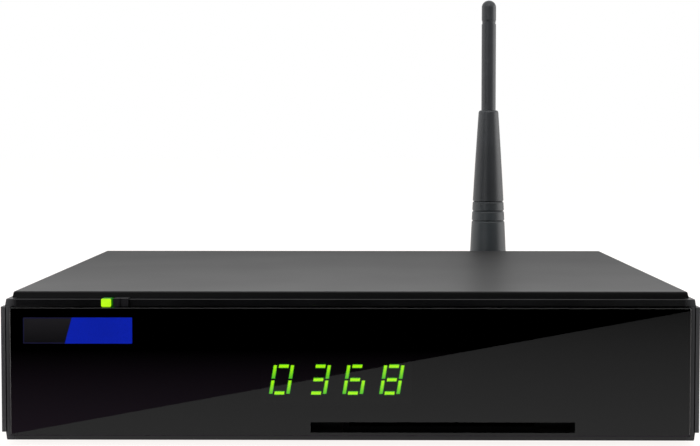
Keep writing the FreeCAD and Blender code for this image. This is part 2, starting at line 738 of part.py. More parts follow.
def bezel_hook(x):
    """Hook behind the sill that grips over the tray's front flange."""
    span = around(x, HOOK_WIDTH)
    stem_face = TRAY_FRONT - HOOK_THICK
    tip = TRAY_FRONT + SHEET + HOOK_THICK
    stem = block(span, (stem_face, TRAY_FRONT), (CASE_BOTTOM + BEZEL_SILL / 2, FLANGE_TOP + HOOK_THICK))
    nose = block(span, (stem_face, tip), (FLANGE_TOP, FLANGE_TOP + HOOK_THICK))
    return join([stem, nose])


def front_bezel():
    """Moulded bezel: front wall, ledge, sill, side walls with cheeks, board bosses and tray hooks."""
    body = section_prism(bezel_section(), (BEZEL_FACE, BEZEL_DEPTH))
    ledge_edge = edges_where(body, lambda p: p.z > LEDGE_TOP - TOUCH and p.y < BEZEL_FACE + TOUCH)
    body = body.makeFillet(LEDGE_ROUND, ledge_edge)
    inner_x = HALF_SIDE + EDGE_GAP
    pocket = block(
        (-inner_x, inner_x), (BEZEL_BACK, BEZEL_DEPTH + CUT_OVER), (SILL_TOP, LEDGE_TOP - LEDGE_THICK)
    )
    behind = block(
        (-inner_x, inner_x), (LEDGE_BACK, BEZEL_DEPTH + CUT_OVER), (CASE_BOTTOM - CUT_OVER, COVER_TOP)
    )
    body = body.cut([pocket, behind])
    side_frame = block(
        (HALF_WINDOW + WINDOW_GAP, SIDE_FRAME_OUTER),
        (SIDE_FRAME_FACE, BEZEL_FACE + CUT_OVER),
        (CASE_BOTTOM + BEZEL_SILL / 2, CHEEK_TOP),
    )
    sill = block(
        (-SIDE_FRAME_OUTER, SIDE_FRAME_OUTER), (SILL_FACE, BEZEL_FACE + CUT_OVER), (CASE_BOTTOM, SILL_TOP)
    )
    sill_edge = edges_where(sill, lambda p: p.z < CASE_BOTTOM + TOUCH and p.y < SILL_FACE + TOUCH)
    sill = sill.makeFillet(SILL_ROUND, sill_edge)
    cheek = bezel_cheek()
    pieces = [body, side_frame, mirrored(side_frame), sill, cheek, mirrored(cheek)]
    for x, z in board_bosses():
        foot = BEZEL_BACK - CUT_OVER
        pieces.append(cylinder(BOSS_RADIUS, Vector(x, foot, z), ALONG_Y, FRONT_BOARD_FACE - foot))
    hook_x = HALF_CASE - HOOK_INSET
    for x in (-hook_x, CARD_RECESS_X - READER_WIDTH, hook_x):
        pieces.append(bezel_hook(x))
    return join(pieces).cut(bezel_openings())


def bezel_openings():
    """Shadow groove, openings for display, receiver and card, screw holes and the notch in the ledge."""
    through = (BEZEL_FACE - 2 * CUT_OVER, BEZEL_BACK + CUT_OVER)
    groove = block(
        (-HALF_WINDOW, HALF_WINDOW),
        (BEZEL_FACE - CUT_OVER, BEZEL_FACE + SHADOW_DEPTH),
        (WINDOW_TOP, WINDOW_TOP + SHADOW_HEIGHT),
    )
    display = block(
        around(DISPLAY_X, DISPLAY_WIDTH + 2 * WINDOW_GAP),
        through,
        around(DISPLAY_Z, DISPLAY_HEIGHT + 2 * WINDOW_GAP),
    )
    eye_start = Vector(RECEIVER_X, through[0], RECEIVER_Z)
    eye = cylinder(RECEIVER_RADIUS + 2 * BUTTON_GAP, eye_start, ALONG_Y, through[1] - through[0])
    card = block(around(CARD_RECESS_X, CARD_RECESS_WIDTH), through, around(CARD_PLANE, CARD_RECESS_HEIGHT))
    notch = block(
        (LIGHT_X - LIGHT_WIDTH / 2, BUTTON_X + BUTTON_WIDTH / 2 + BUTTON_GAP),
        (through[0], LEDGE_BACK + CUT_OVER),
        (KEY_SILL, LEDGE_TOP + CUT_OVER),
    )
    leg = block(
        around(BUTTON_X, BUTTON_WIDTH + 2 * BUTTON_GAP),
        (BEZEL_BACK, LEDGE_BACK + CUT_OVER),
        (LEDGE_TOP - 2 * LEDGE_THICK, LEDGE_TOP + CUT_OVER),
    )
    cuts = [groove, display, eye, card, notch, leg]
    for x, z in board_bosses():
        foot = Vector(x, BEZEL_BACK + PORT_PLAY, z)
        cuts.append(cylinder(SCREW_RADIUS, foot, ALONG_Y, FRONT_BOARD_FACE - BEZEL_BACK))
    return cuts


def front_window():
    """Gloss window with a bevelled rim and the wide, low card recess."""
    x_span = (-HALF_WINDOW, HALF_WINDOW)
    plate = front_plate(x_span, (WINDOW_BOTTOM, WINDOW_TOP), (0, WINDOW_THICK), WINDOW_CORNER)
    rim = edges_where(plate, lambda p: p.y < TOUCH)
    plate = plate.makeChamfer(WINDOW_BEVEL, rim)
    recess = block(
        around(CARD_RECESS_X, CARD_RECESS_WIDTH),
        (-CUT_OVER, WINDOW_THICK + CUT_OVER),
        (CARD_RECESS_BOTTOM, CARD_RECESS_BOTTOM + CARD_RECESS_HEIGHT),
    )
    return plate.cut(recess)


def emblem_outline():
    """The whole plate that is stuck on the window, before its joint."""
    x_span = (EMBLEM_LEFT, EMBLEM_LEFT + EMBLEM_WIDTH)
    z_span = (EMBLEM_TOP - EMBLEM_HEIGHT, EMBLEM_TOP)
    return front_plate(x_span, z_span, (-EMBLEM_THICK, 0), EMBLEM_CORNER)


def emblem_side():
    """Everything to the right of the slanted joint in the plate."""
    foot, head = EMBLEM_SPLIT
    far = EMBLEM_LEFT + EMBLEM_WIDTH + CUT_OVER
    front = -EMBLEM_THICK - CUT_OVER
    corners = [
        Vector(EMBLEM_LEFT + foot, front, EMBLEM_TOP - EMBLEM_HEIGHT),
        Vector(far, front, EMBLEM_TOP - EMBLEM_HEIGHT),
        Vector(far, front, EMBLEM_TOP),
        Vector(EMBLEM_LEFT + head, front, EMBLEM_TOP),
    ]
    return prism(corners, ALONG_Y * (EMBLEM_THICK + 2 * CUT_OVER))


def emblem_plate():
    """Dark left part of the plate."""
    return emblem_outline().cut(emblem_side())


def emblem_field():
    """Blue right part of the plate."""
    return emblem_outline().common(emblem_side())


def power_light_guide():
    """Clear bar in the ledge that carries the light of the LED to the front."""
    face = front_plate(
        around(LIGHT_X, LIGHT_WIDTH),
        (KEY_SILL, KEY_SILL + LIGHT_HEIGHT),
        (LIGHT_FACE, BEZEL_BACK),
        LIGHT_CORNER,
    )
    bar = block(
        around(LIGHT_X, LIGHT_WIDTH - 2 * LIGHT_CORNER),
        (BEZEL_BACK - CUT_OVER, FRONT_BOARD_FACE - LED_DEPTH),
        (KEY_SILL, LEDGE_TOP - LIGHT_CORNER),
    )
    return join([face, bar])


def power_led():
    """Surface-mounted lamp at the upper edge of the front board."""
    top = FRONT_BOARD_TOP - EDGE_GAP
    y_span = (FRONT_BOARD_FACE - LED_DEPTH, FRONT_BOARD_FACE)
    return block(around(LIGHT_X, LED_WIDTH), y_span, (top - LED_HEIGHT, top))


def standby_button():
    """Key in the ledge with a finger groove and a leg down to the tact switch."""
    cap_back = LIP - BUTTON_TRAVEL - BUTTON_GAP
    cap_foot = KEY_SILL + BUTTON_GAP / 2
    cap = front_plate(
        around(BUTTON_X, BUTTON_WIDTH),
        (cap_foot, cap_foot + BUTTON_HEIGHT),
        (BUTTON_FACE, cap_back),
        BUTTON_CORNER,
    )
    groove = block(
        around(BUTTON_X, BUTTON_GROOVE),
        (BUTTON_FACE - CUT_OVER, BUTTON_FACE + BUTTON_GROOVE),
        (CASE_BOTTOM, COVER_TOP),
    )
    leg = block(
        around(BUTTON_X, BUTTON_WIDTH - 2 * BUTTON_GAP),
        (BEZEL_BACK + BUTTON_GAP, FRONT_BOARD_FACE - TACT_DEPTH - PLUNGER_REACH),
        (TACT_Z - PLUNGER_RADIUS, LEDGE_TOP - 2 * BUTTON_GAP),
    )
    return join([cap, leg]).cut(groove)


def tact_switch():
    """Square switch body with a hole for its plunger."""
    face = FRONT_BOARD_FACE - TACT_DEPTH
    body = block(around(TACT_X, TACT_SIZE), (face, FRONT_BOARD_FACE), around(TACT_Z, TACT_SIZE))
    body = body.makeChamfer(TACT_CHAMFER, edges_where(body, lambda p: p.y < face + TOUCH))
    start = Vector(TACT_X, face - CUT_OVER, TACT_Z)
    depth = CUT_OVER + PLUNGER_REACH + BUTTON_TRAVEL
    return body.cut(cylinder(PLUNGER_RADIUS + RUNNING_GAP, start, ALONG_Y, depth))


def tact_plunger():
    """Plunger of the tact switch, as far inside the switch as outside, less the play behind it."""
    start = Vector(TACT_X, FRONT_BOARD_FACE - TACT_DEPTH - PLUNGER_REACH, TACT_Z)
    return cylinder(PLUNGER_RADIUS, start, ALONG_Y, 2 * PLUNGER_REACH - 2 * RUNNING_GAP)


# Seven bars of a digit: 0 top, 1 upper left, 2 upper right, 3 middle, 4 lower left, 5 lower right, 6 bottom
DIGIT_BARS = {
    0: (0, 1, 2, 4, 5, 6),
    3: (0, 2, 3, 5, 6),
    6: (0, 1, 3, 4, 5, 6),
    8: (0, 1, 2, 3, 4, 5, 6),
}
BAR_COUNT = 7
LEVEL_BARS = {0: 1.0, 3: 0.5, 6: 0.0}    # with their height as a share of the digit
LEFT_BARS = (1, 4)
UPPER_BARS = (1, 2)


def slanted(x, z):
    """Point of a digit after the slant, with z measured from the digit's foot."""
    return x + (z - DIGIT_HEIGHT / 2) * math.tan(math.radians(DIGIT_SLANT))


def bar_spans(bar):
    """Width and height span of one bar, before the slant, with z from the digit's foot."""
    half_width = DIGIT_WIDTH / 2
    middle = DIGIT_HEIGHT / 2
    if bar in LEVEL_BARS:
        inner = half_width - BAR_WIDTH - BAR_GAP
        foot = LEVEL_BARS[bar] * (DIGIT_HEIGHT - BAR_WIDTH)
        return (-inner, inner), (foot, foot + BAR_WIDTH)
    x_span = (half_width - BAR_WIDTH, half_width)
    if bar in LEFT_BARS:
        x_span = (-half_width, -half_width + BAR_WIDTH)
    if bar in UPPER_BARS:
        return x_span, (middle + BAR_SPLIT / 2, DIGIT_HEIGHT - BAR_STEP)
    return x_span, (BAR_STEP, middle - BAR_SPLIT / 2)


def display_bar(digit_x, bar):
    """One bar of one digit, as a thin slanted plate on the housing's face."""
    (left, right), (low, high) = bar_spans(bar)
    face = DISPLAY_FACE - BAR_DEPTH
    z_foot = DISPLAY_Z - DIGIT_HEIGHT / 2
    corners = [
        Vector(digit_x + slanted(x, z), face, z_foot + z)
        for x, z in ((left, low), (right, low), (right, high), (left, high))
    ]
    return prism(corners, ALONG_Y * BAR_DEPTH)


def display_bars(lit):
    """All bars that are lit, or all that are dark."""
    bars = []
    for place, digit in enumerate(DISPLAY_DIGITS):
        digit_x = DISPLAY_X + (place - (len(DISPLAY_DIGITS) - 1) / 2) * DIGIT_PITCH
        for bar in range(BAR_COUNT):
            if (bar in DIGIT_BARS[digit]) == lit:
                bars.append(display_bar(digit_x, bar))
    return bars


def display_housing():
    y_span = (DISPLAY_FACE, FRONT_BOARD_FACE)
    return block(around(DISPLAY_X, DISPLAY_WIDTH), y_span, around(DISPLAY_Z, DISPLAY_HEIGHT))


def infrared_receiver():
    """Receiver eye with its domed front, on the front board."""
    front = FRONT_BOARD_FACE - RECEIVER_DEPTH
    body = block(
        around(RECEIVER_X, RECEIVER_WIDTH), (front, FRONT_BOARD_FACE), around(RECEIVER_Z, RECEIVER_HEIGHT)
    )
    dome = Part.makeSphere(RECEIVER_RADIUS, Vector(RECEIVER_X, front, RECEIVER_Z))
    return join([body, dome])


def front_board():
    """Upright board behind the bezel wall."""
    board = block(
        (FRONT_BOARD_LEFT, FRONT_BOARD_RIGHT),
        (FRONT_BOARD_FACE, FRONT_BOARD_BACK),
        (FRONT_BOARD_BOTTOM, FRONT_BOARD_TOP),
    )
    radius = SCREW_RADIUS + SCREW_PLAY
    start = FRONT_BOARD_FACE - CUT_OVER
    length = BOARD_THICK + 2 * CUT_OVER
    holes = [cylinder(radius, Vector(x, start, z), ALONG_Y, length) for x, z in board_bosses()]
    return board.cut(holes)


def front_board_screws():
    return [screw(Vector(x, FRONT_BOARD_BACK, z), -ALONG_Y, SHORT_SCREW) for x, z in board_bosses()]


# Main board and what stands on it

def board_holes():
    """Places of the four screws of the main board; the rear ones stand in front of the tuner."""
    x = HALF_BOARD - BOARD_HOLE_INSET
    rear = BOARD_BACK - TUNER_DEPTH - BOARD_HOLE_INSET - SCREW_HEAD_RADIUS
    return [(side * x, y) for side in (-1, 1) for y in (BOARD_FRONT + BOARD_HOLE_INSET, rear)]


def main_board():
    z_span = (BOARD_BOTTOM, BOARD_TOP)
    board = flat_plate((-HALF_BOARD, HALF_BOARD), (BOARD_FRONT, BOARD_BACK), z_span, BOARD_CORNER)
    radius = SCREW_RADIUS + SCREW_PLAY
    foot = BOARD_BOTTOM - CUT_OVER
    length = BOARD_THICK + 2 * CUT_OVER
    holes = [cylinder(radius, Vector(x, y, foot), ALONG_Z, length) for x, y in board_holes()]
    return board.cut(holes)


def board_standoffs():
    """Hexagonal spacers that are riveted into the tray."""
    spacers = []
    for x, y in board_holes():
        foot = Vector(x, y, FLOOR_TOP)
        bore = cylinder(SCREW_RADIUS, foot + ALONG_Z, ALONG_Z, STANDOFF_HEIGHT)
        spacers.append(hex_prism(STANDOFF_WIDTH, foot, ALONG_Z, STANDOFF_HEIGHT).cut(bore))
    return spacers


def main_board_screws():
    return [screw(Vector(x, y, BOARD_TOP), -ALONG_Z, SHORT_SCREW) for x, y in board_holes()]


def main_chip():
    top = BOARD_TOP + CHIP_HEIGHT
    return flat_plate(around(CHIP_X, CHIP_SIZE), around(CHIP_Y, CHIP_SIZE), (BOARD_TOP, top), CHIP_CORNER)


def heat_sink():
    """Extruded sink: a base with upright fins."""
    foot = BOARD_TOP + CHIP_HEIGHT
    y_span = around(CHIP_Y, SINK_SIZE)
    pieces = [block(around(CHIP_X, SINK_SIZE), y_span, (foot, foot + SINK_BASE))]
    pitch = (SINK_SIZE - SINK_FIN_THICK) / (SINK_FIN_COUNT - 1)
    for step in range(SINK_FIN_COUNT):
        x = CHIP_X + (step - (SINK_FIN_COUNT - 1) / 2) * pitch
        pieces.append(block(around(x, SINK_FIN_THICK), y_span, (foot, foot + SINK_BASE + SINK_FIN_HEIGHT)))
    return join(pieces)


def memory_chips():
    """Two memory chips beside the main chip and the flash chip in front of it."""
    z_span = (BOARD_TOP, BOARD_TOP + MEMORY_HEIGHT)
    y_span = around(CHIP_Y, MEMORY_LENGTH)
    places = (CHIP_X - MEMORY_STEP, CHIP_X + MEMORY_STEP)
    chips = [block(around(x, MEMORY_WIDTH), y_span, z_span) for x in places]
    chips.append(block(around(CHIP_X, FLASH_WIDTH), around(CHIP_Y - FLASH_STEP, FLASH_LENGTH), z_span))
    return chips


def capacitors():
    """Can capacitors of the supply, with their rolled bead."""
    profile = [
        (0, 0),
        (CAPACITOR_RADIUS, 0),
        (CAPACITOR_RADIUS, CAPACITOR_BEAD_LIFT - CAPACITOR_BEAD),
        (CAPACITOR_RADIUS - CAPACITOR_BEAD, CAPACITOR_BEAD_LIFT),
        (CAPACITOR_RADIUS, CAPACITOR_BEAD_LIFT + CAPACITOR_BEAD),
        (CAPACITOR_RADIUS, CAPACITOR_HEIGHT),
        (0, CAPACITOR_HEIGHT),
    ]
    return [
        turned(profile, Vector(DC_X + x_step, BOARD_BACK - y_step, BOARD_TOP), ALONG_Z)
        for x_step, y_step in CAPACITOR_STEPS
    ]


def inductors():
    """Shielded power inductors."""
    z_span = (BOARD_TOP, BOARD_TOP + INDUCTOR_HEIGHT)
    coils = []
    for x_step, y_step in INDUCTOR_STEPS:
        x_span = around(DC_X + x_step, INDUCTOR_SIZE)
        y_span = around(BOARD_BACK - y_step, INDUCTOR_SIZE)
        coils.append(flat_plate(x_span, y_span, z_span, INDUCTOR_CORNER))
    return coils


def crystal():
    """Quartz can with round ends."""
    x_step, y_step = CRYSTAL_STEP
    return flat_plate(
        around(CHIP_X + x_step, CRYSTAL_WIDTH),
        around(CHIP_Y + y_step, CRYSTAL_LENGTH),
        (BOARD_TOP, BOARD_TOP + CRYSTAL_HEIGHT),
        CRYSTAL_WIDTH * ROUND_END,
    )


# Card reader under the front of the main board

def card_reader():
    """Flat housing with a slit for the card, open at the front."""
    back = BEZEL_BACK + READER_DEPTH
    body = block(around(CARD_RECESS_X, READER_WIDTH), (BEZEL_BACK, back), (READER_BOTTOM, BOARD_BOTTOM))
    slit = block(
        around(CARD_RECESS_X, CARD_WIDTH + CARD_PLAY),
        (BEZEL_BACK - CUT_OVER, back - 2 * READER_WALL),
        around(CARD_PLANE, READER_SLIT),
    )
    return body.cut(slit)


# Flat cable between the boards

def cable_sockets():
    """One socket on each board."""
    x_span = around(CABLE_X, CABLE_WIDTH + 2 * SOCKET_SIDE)
    foot = FRONT_BOARD_BOTTOM + SOCKET_LIFT
    front = BOARD_FRONT + CABLE_REACH
    upright_y = (FRONT_BOARD_BACK, FRONT_BOARD_BACK + SOCKET_HEIGHT)
    upright = block(x_span, upright_y, (foot, foot + SOCKET_LENGTH))
    flat = block(x_span, (front, front + SOCKET_LENGTH), (BOARD_TOP, BOARD_TOP + SOCKET_HEIGHT))
    return [upright, flat]


def flat_cable():
    """Ribbon that hangs from the upright socket and turns into the flat one in a quarter round."""
    y_top = FRONT_BOARD_BACK + SOCKET_HEIGHT / 2
    z_top = FRONT_BOARD_BOTTOM + SOCKET_LIFT
    z_flat = BOARD_TOP + SOCKET_HEIGHT / 2
    x = CABLE_X - CABLE_WIDTH / 2
    centre = Vector(x, y_top + CABLE_BEND, z_flat + CABLE_BEND)

    def path(offset):
        bend = CABLE_BEND - offset
        return [
            Vector(x, y_top + offset, z_top),
            centre + Vector(0, -bend, 0),
            centre + Vector(0, -bend, -bend) * math.sqrt(0.5),
            centre + Vector(0, 0, -bend),
            Vector(x, BOARD_FRONT + CABLE_REACH, z_flat + offset),
        ]

    outer = path(0)
    inner = path(CABLE_THICK)
    edges = [
        Part.LineSegment(outer[0], outer[1]).toShape(),
        Part.Arc(outer[1], outer[2], outer[3]).toShape(),
        Part.LineSegment(outer[3], outer[4]).toShape(),
        Part.LineSegment(outer[4], inner[4]).toShape(),
        Part.LineSegment(inner[4], inner[3]).toShape(),
        Part.Arc(inner[3], inner[2], inner[1]).toShape(),
        Part.LineSegment(inner[1], inner[0]).toShape(),
        Part.LineSegment(inner[0], outer[0]).toShape(),
    ]
    return Part.Face(Part.Wire(edges)).extrude(ALONG_X * CABLE_WIDTH)


# Tuner

LID_EDGE = 0.3                # the tuner's lid stands this far out all round
LID_SKIRT = 3.0
STAMP_COUNT = 3
STAMP_PITCH = 13.0
STAMP_LENGTH = 8.0
STAMP_INSET = 4.5
SATELLITE_NECK_RADIUS = 5.6
SATELLITE_NECK_LENGTH = 0.8   # in front of the rear panel
SATELLITE_RADIUS = 4.76
SATELLITE_BORE = 3.4
SATELLITE_LENGTH = 11.0
SATELLITE_CORE = 0.6
AERIAL_RADIUS = 6.4
AERIAL_BORE = 4.75
AERIAL_LENGTH = 8.5
CONTACT_FOOT_RADIUS = 2.6
CONTACT_FOOT = 1.5
CONTACT_RADIUS = 1.9
CONTACT_BORE = 1.2
END_CHAMFER = 0.5


def tuner_can():
    """Shielding can of the tuner, with a stamped lid."""
    top = BOARD_TOP + TUNER_HEIGHT
    front = BOARD_BACK - TUNER_DEPTH
    can = block(around(TUNER_X, TUNER_WIDTH), (front, BOARD_BACK), (BOARD_TOP, top))
    lid = block(
        around(TUNER_X, TUNER_WIDTH + 2 * LID_EDGE),
        (front - LID_EDGE, BOARD_BACK),
        (top - LID_SKIRT, top + LID_EDGE),
    )
    stamps = []
    for step in range(STAMP_COUNT):
        y = BOARD_BACK - TUNER_DEPTH / 2 + (step - (STAMP_COUNT - 1) / 2) * STAMP_PITCH
        x_span = around(TUNER_X, TUNER_WIDTH - 2 * STAMP_INSET)
        stamps.append(flat_plate(x_span, around(y, STAMP_LENGTH), (top, top + CUT_OVER), CHIP_CORNER))
    return join([can, lid]).cut(stamps)


def satellite_input():
    """Threaded F connector of the dish cable: a wide neck through the panel and the barrel."""
    centre = Vector(SATELLITE_X, BOARD_BACK, TUNER_AXIS_Z)
    panel = REAR_FACE - BOARD_BACK
    neck = panel + SATELLITE_NECK_LENGTH
    tip = panel + SATELLITE_LENGTH
    floor = panel + CUT_OVER
    profile = [
        (0, 0),
        (SATELLITE_NECK_RADIUS, 0),
        (SATELLITE_NECK_RADIUS, neck),
        (SATELLITE_RADIUS, neck),
        (SATELLITE_RADIUS, tip - END_CHAMFER),
        (SATELLITE_RADIUS - END_CHAMFER, tip),
        (SATELLITE_BORE, tip),
        (SATELLITE_BORE, floor),
        (0, floor),
    ]
    return turned(profile, centre, ALONG_Y)


def satellite_contact():
    """White insulator with the hole for the cable's core and a funnel at its mouth."""
    centre = Vector(SATELLITE_X, REAR_FACE + CUT_OVER, TUNER_AXIS_Z)
    length = SATELLITE_LENGTH - CUT_OVER - END_CHAMFER
    funnel = SATELLITE_CORE + CUT_OVER
    profile = [
        (SATELLITE_CORE, 0),
        (SATELLITE_BORE, 0),
        (SATELLITE_BORE, length),
        (funnel, length),
        (SATELLITE_CORE, length - funnel),
    ]
    return turned(profile, centre, ALONG_Y)


def aerial_input():
    """Coaxial socket of the aerial cable."""
    centre = Vector(AERIAL_X, BOARD_BACK, TUNER_AXIS_Z)
    panel = REAR_FACE - BOARD_BACK
    tip = panel + AERIAL_LENGTH
    profile = [
        (0, 0),
        (AERIAL_RADIUS, 0),
        (AERIAL_RADIUS, tip - END_CHAMFER),
        (AERIAL_RADIUS - END_CHAMFER, tip),
        (AERIAL_BORE, tip),
        (AERIAL_BORE, panel),
        (0, panel),
    ]
    return turned(profile, centre, ALONG_Y)


def aerial_contact():
    """Hollow centre contact of the coaxial socket, with its wide foot."""
    centre = Vector(AERIAL_X, REAR_FACE, TUNER_AXIS_Z)
    length = AERIAL_LENGTH - CUT_OVER
    profile = [
        (0, 0),
        (CONTACT_FOOT_RADIUS, 0),
        (CONTACT_FOOT_RADIUS, CONTACT_FOOT),
        (CONTACT_RADIUS, CONTACT_FOOT),
        (CONTACT_RADIUS, length),
        (CONTACT_BORE, length),
        (CONTACT_BORE, CONTACT_FOOT),
        (0, CONTACT_FOOT),
    ]
    return turned(profile, centre, ALONG_Y)


# Ports on the main board

HDMI_WIDTH = 15.0
HDMI_HEIGHT = 6.2
HDMI_DEPTH = 11.6
HDMI_BEVEL = 1.6
HDMI_TONGUE_INSET = 2.0
HDMI_TONGUE_THICK = 1.1
SHELL_WALL = 0.5
TONGUE_SETBACK = 1.2          # the contact tongues end this far inside the mouth
USB_WIDTH = 13.4
USB_HEIGHT = 15.8
USB_DEPTH = 17.8
USB_MOUTH_HEIGHT = 5.1
USB_MOUTH_DEPTH = 13.8
USB_MOUTH_INSET = 1.1
USB_TONGUE_LIFT = 2.7
USB_TONGUE_THICK = 1.9
LAN_WIDTH = 16.0
LAN_HEIGHT = 13.6
LAN_DEPTH = 21.3
OPTICAL_WIDTH = 9.8
OPTICAL_HEIGHT = 10.2
OPTICAL_DEPTH = 13.6
JACK_WALL = 1.0
AV_COLLAR_RADIUS = 4.0
AV_BORE = 1.8
AV_LIFT = 4.2                 # axis above the board
AV_Z = BOARD_TOP + AV_LIFT
AV_DEPTH = 14.0
AV_WIDTH = 9.0
AV_HEIGHT = 8.0
DC_COLLAR_RADIUS = 4.4
DC_BORE = 3.15
DC_LIFT = 6.5                 # axis above the board
DC_Z = BOARD_TOP + DC_LIFT
DC_DEPTH = 14.2
DC_WIDTH = 9.2
DC_HEIGHT = 11.0
DC_BORE_DEPTH = 9.5
DC_PIN_RADIUS = 1.0


def port_section(x, z_foot, half_width, height, corner):
    """Outline of a plug opening whose lower corners are cut off."""
    return [
        Vector(x - half_width + corner, 0, z_foot),
        Vector(x + half_width - corner, 0, z_foot),
        Vector(x + half_width, 0, z_foot + corner),
        Vector(x + half_width, 0, z_foot + height),
        Vector(x - half_width, 0, z_foot + height),
        Vector(x - half_width, 0, z_foot + corner),
    ]


def at_depth(points, y):
    return [Vector(point.x, y, point.z) for point in points]


def hdmi_port():
    """Metal shell with the tapered opening and its contact tongue."""
    start = PORT_FACE - HDMI_DEPTH
    floor = start + HDMI_TONGUE_INSET
    outer = port_section(HDMI_X, BOARD_TOP, HDMI_WIDTH / 2, HDMI_HEIGHT, HDMI_BEVEL)
    inner_height = HDMI_HEIGHT - 2 * SHELL_WALL
    inner = port_section(
        HDMI_X, BOARD_TOP + SHELL_WALL, HDMI_WIDTH / 2 - SHELL_WALL, inner_height, HDMI_BEVEL
    )
    shell = prism(at_depth(outer, start), ALONG_Y * HDMI_DEPTH)
    cavity = prism(at_depth(inner, floor), ALONG_Y * HDMI_DEPTH)
    tongue = block(
        around(HDMI_X, HDMI_WIDTH - 2 * HDMI_TONGUE_INSET),
        (floor - SHELL_WALL, PORT_FACE - TONGUE_SETBACK),
        around(BOARD_TOP + HDMI_HEIGHT / 2, HDMI_TONGUE_THICK),
    )
    return join([shell.cut(cavity), tongue])


def usb_ports():
    """Two stacked USB sockets in one shell, each with its tongue."""
    top = BOARD_TOP + USB_HEIGHT
    shell = block(around(USB_X, USB_WIDTH), (PORT_FACE - USB_DEPTH, PORT_FACE), (BOARD_TOP, top))
    floor = PORT_FACE - USB_MOUTH_DEPTH
    cavity_width = USB_WIDTH - 2 * SHELL_WALL
    cavities = []
    tongues = []
    for z in (BOARD_TOP + USB_MOUTH_INSET, top - USB_MOUTH_INSET - USB_MOUTH_HEIGHT):
        z_span = (z, z + USB_MOUTH_HEIGHT)
        cavities.append(block(around(USB_X, cavity_width), (floor, PORT_FACE + CUT_OVER), z_span))
        tongue_foot = z + USB_TONGUE_LIFT
        tongues.append(
            block(
                around(USB_X, cavity_width - 2 * SHELL_WALL),
                (floor - SHELL_WALL, PORT_FACE - TONGUE_SETBACK),
                (tongue_foot, tongue_foot + USB_TONGUE_THICK),
            )
        )
    return join([shell.cut(cavities)] + tongues)


LAN_CAVITY_WIDTH = 11.9
LAN_CAVITY_HEIGHT = 7.4
LAN_CAVITY_DEPTH = 13.5
LAN_CAVITY_LIFT = 3.8
LAN_CAVITY_FOOT = BOARD_TOP + LAN_CAVITY_LIFT
LATCH_WIDTH = 6.3
LATCH_DEEP = 1.5
LATCH_TIP_WIDTH = 3.4
LATCH_TIP_DEEP = 2.9
CONTACT_COUNT = 8
CONTACT_PITCH = 1.02
CONTACT_WIDTH = 0.4
WIRE_REACH = 8.5              # along the roof of the jack
WIRE_BEND = 2.0               # from the end of the roof run to the inside of the bend
WIRE_TIP = 1.5                # free end, from the back of the cavity
WIRE_DROP = 2.2               # free end below the roof
WIRE_END = 0.3                # blunt end of the wire


def lan_jack():
    """Shielded network jack: plug cavity with the stepped latch notch below it."""
    shell = block(
        around(LAN_X, LAN_WIDTH), (PORT_FACE - LAN_DEPTH, PORT_FACE), (BOARD_TOP, BOARD_TOP + LAN_HEIGHT)
    )
    y_span = (PORT_FACE - LAN_CAVITY_DEPTH, PORT_FACE + CUT_OVER)
    foot = LAN_CAVITY_FOOT
    cavity = block(around(LAN_X, LAN_CAVITY_WIDTH), y_span, (foot, foot + LAN_CAVITY_HEIGHT))
    latch = block(around(LAN_X, LATCH_WIDTH), y_span, (foot - LATCH_DEEP, foot + CUT_OVER))
    tip = block(around(LAN_X, LATCH_TIP_WIDTH), y_span, (foot - LATCH_TIP_DEEP, foot + CUT_OVER))
    return shell.cut([cavity, latch, tip])


def lan_contacts():
    """Eight sprung wires that slope down from the roof of the jack."""
    wires = []
    roof = LAN_CAVITY_FOOT + LAN_CAVITY_HEIGHT
    back = PORT_FACE - LAN_CAVITY_DEPTH
    side_view = [
        (0.0, -CONTACT_WIDTH),
        (0.0, 0.0),
        (WIRE_REACH, 0.0),
        (WIRE_TIP, -WIRE_DROP),
        (WIRE_TIP - WIRE_END, -WIRE_DROP + WIRE_END),
        (WIRE_REACH - WIRE_BEND, -CONTACT_WIDTH),
    ]
    for step in range(CONTACT_COUNT):
        x = LAN_X + (step - (CONTACT_COUNT - 1) / 2) * CONTACT_PITCH - CONTACT_WIDTH / 2
        corners = [Vector(x, back + y_step, roof + z_step) for y_step, z_step in side_view]
        wires.append(prism(corners, ALONG_X * CONTACT_WIDTH))
    return wires


SHUTTER_DROP = 1.7            # pivot below the top of the socket
SHUTTER_INSET = 1.3           # pivot inside the mouth
SHUTTER_PIVOT_Z = BOARD_TOP + OPTICAL_HEIGHT - SHUTTER_DROP
SHUTTER_PIVOT_Y = PORT_FACE - SHUTTER_INSET
SHUTTER_PIN = 0.5
SHUTTER_PIN_REACH = 0.7       # the pins stand this far out of the flap on each side
SHUTTER_THICK = 0.8
SHUTTER_WIDTH = 7.2
SHUTTER_HEIGHT = 6.6
SHUTTER_GAP = 0.2
OPTICAL_MOUTH_LIFT = 1.4
OPTICAL_MOUTH_FOOT = BOARD_TOP + OPTICAL_MOUTH_LIFT
OPTICAL_MOUTH_DEPTH = 10.0
PIN_END_PLAY = 0.1            # room past the end of each pin


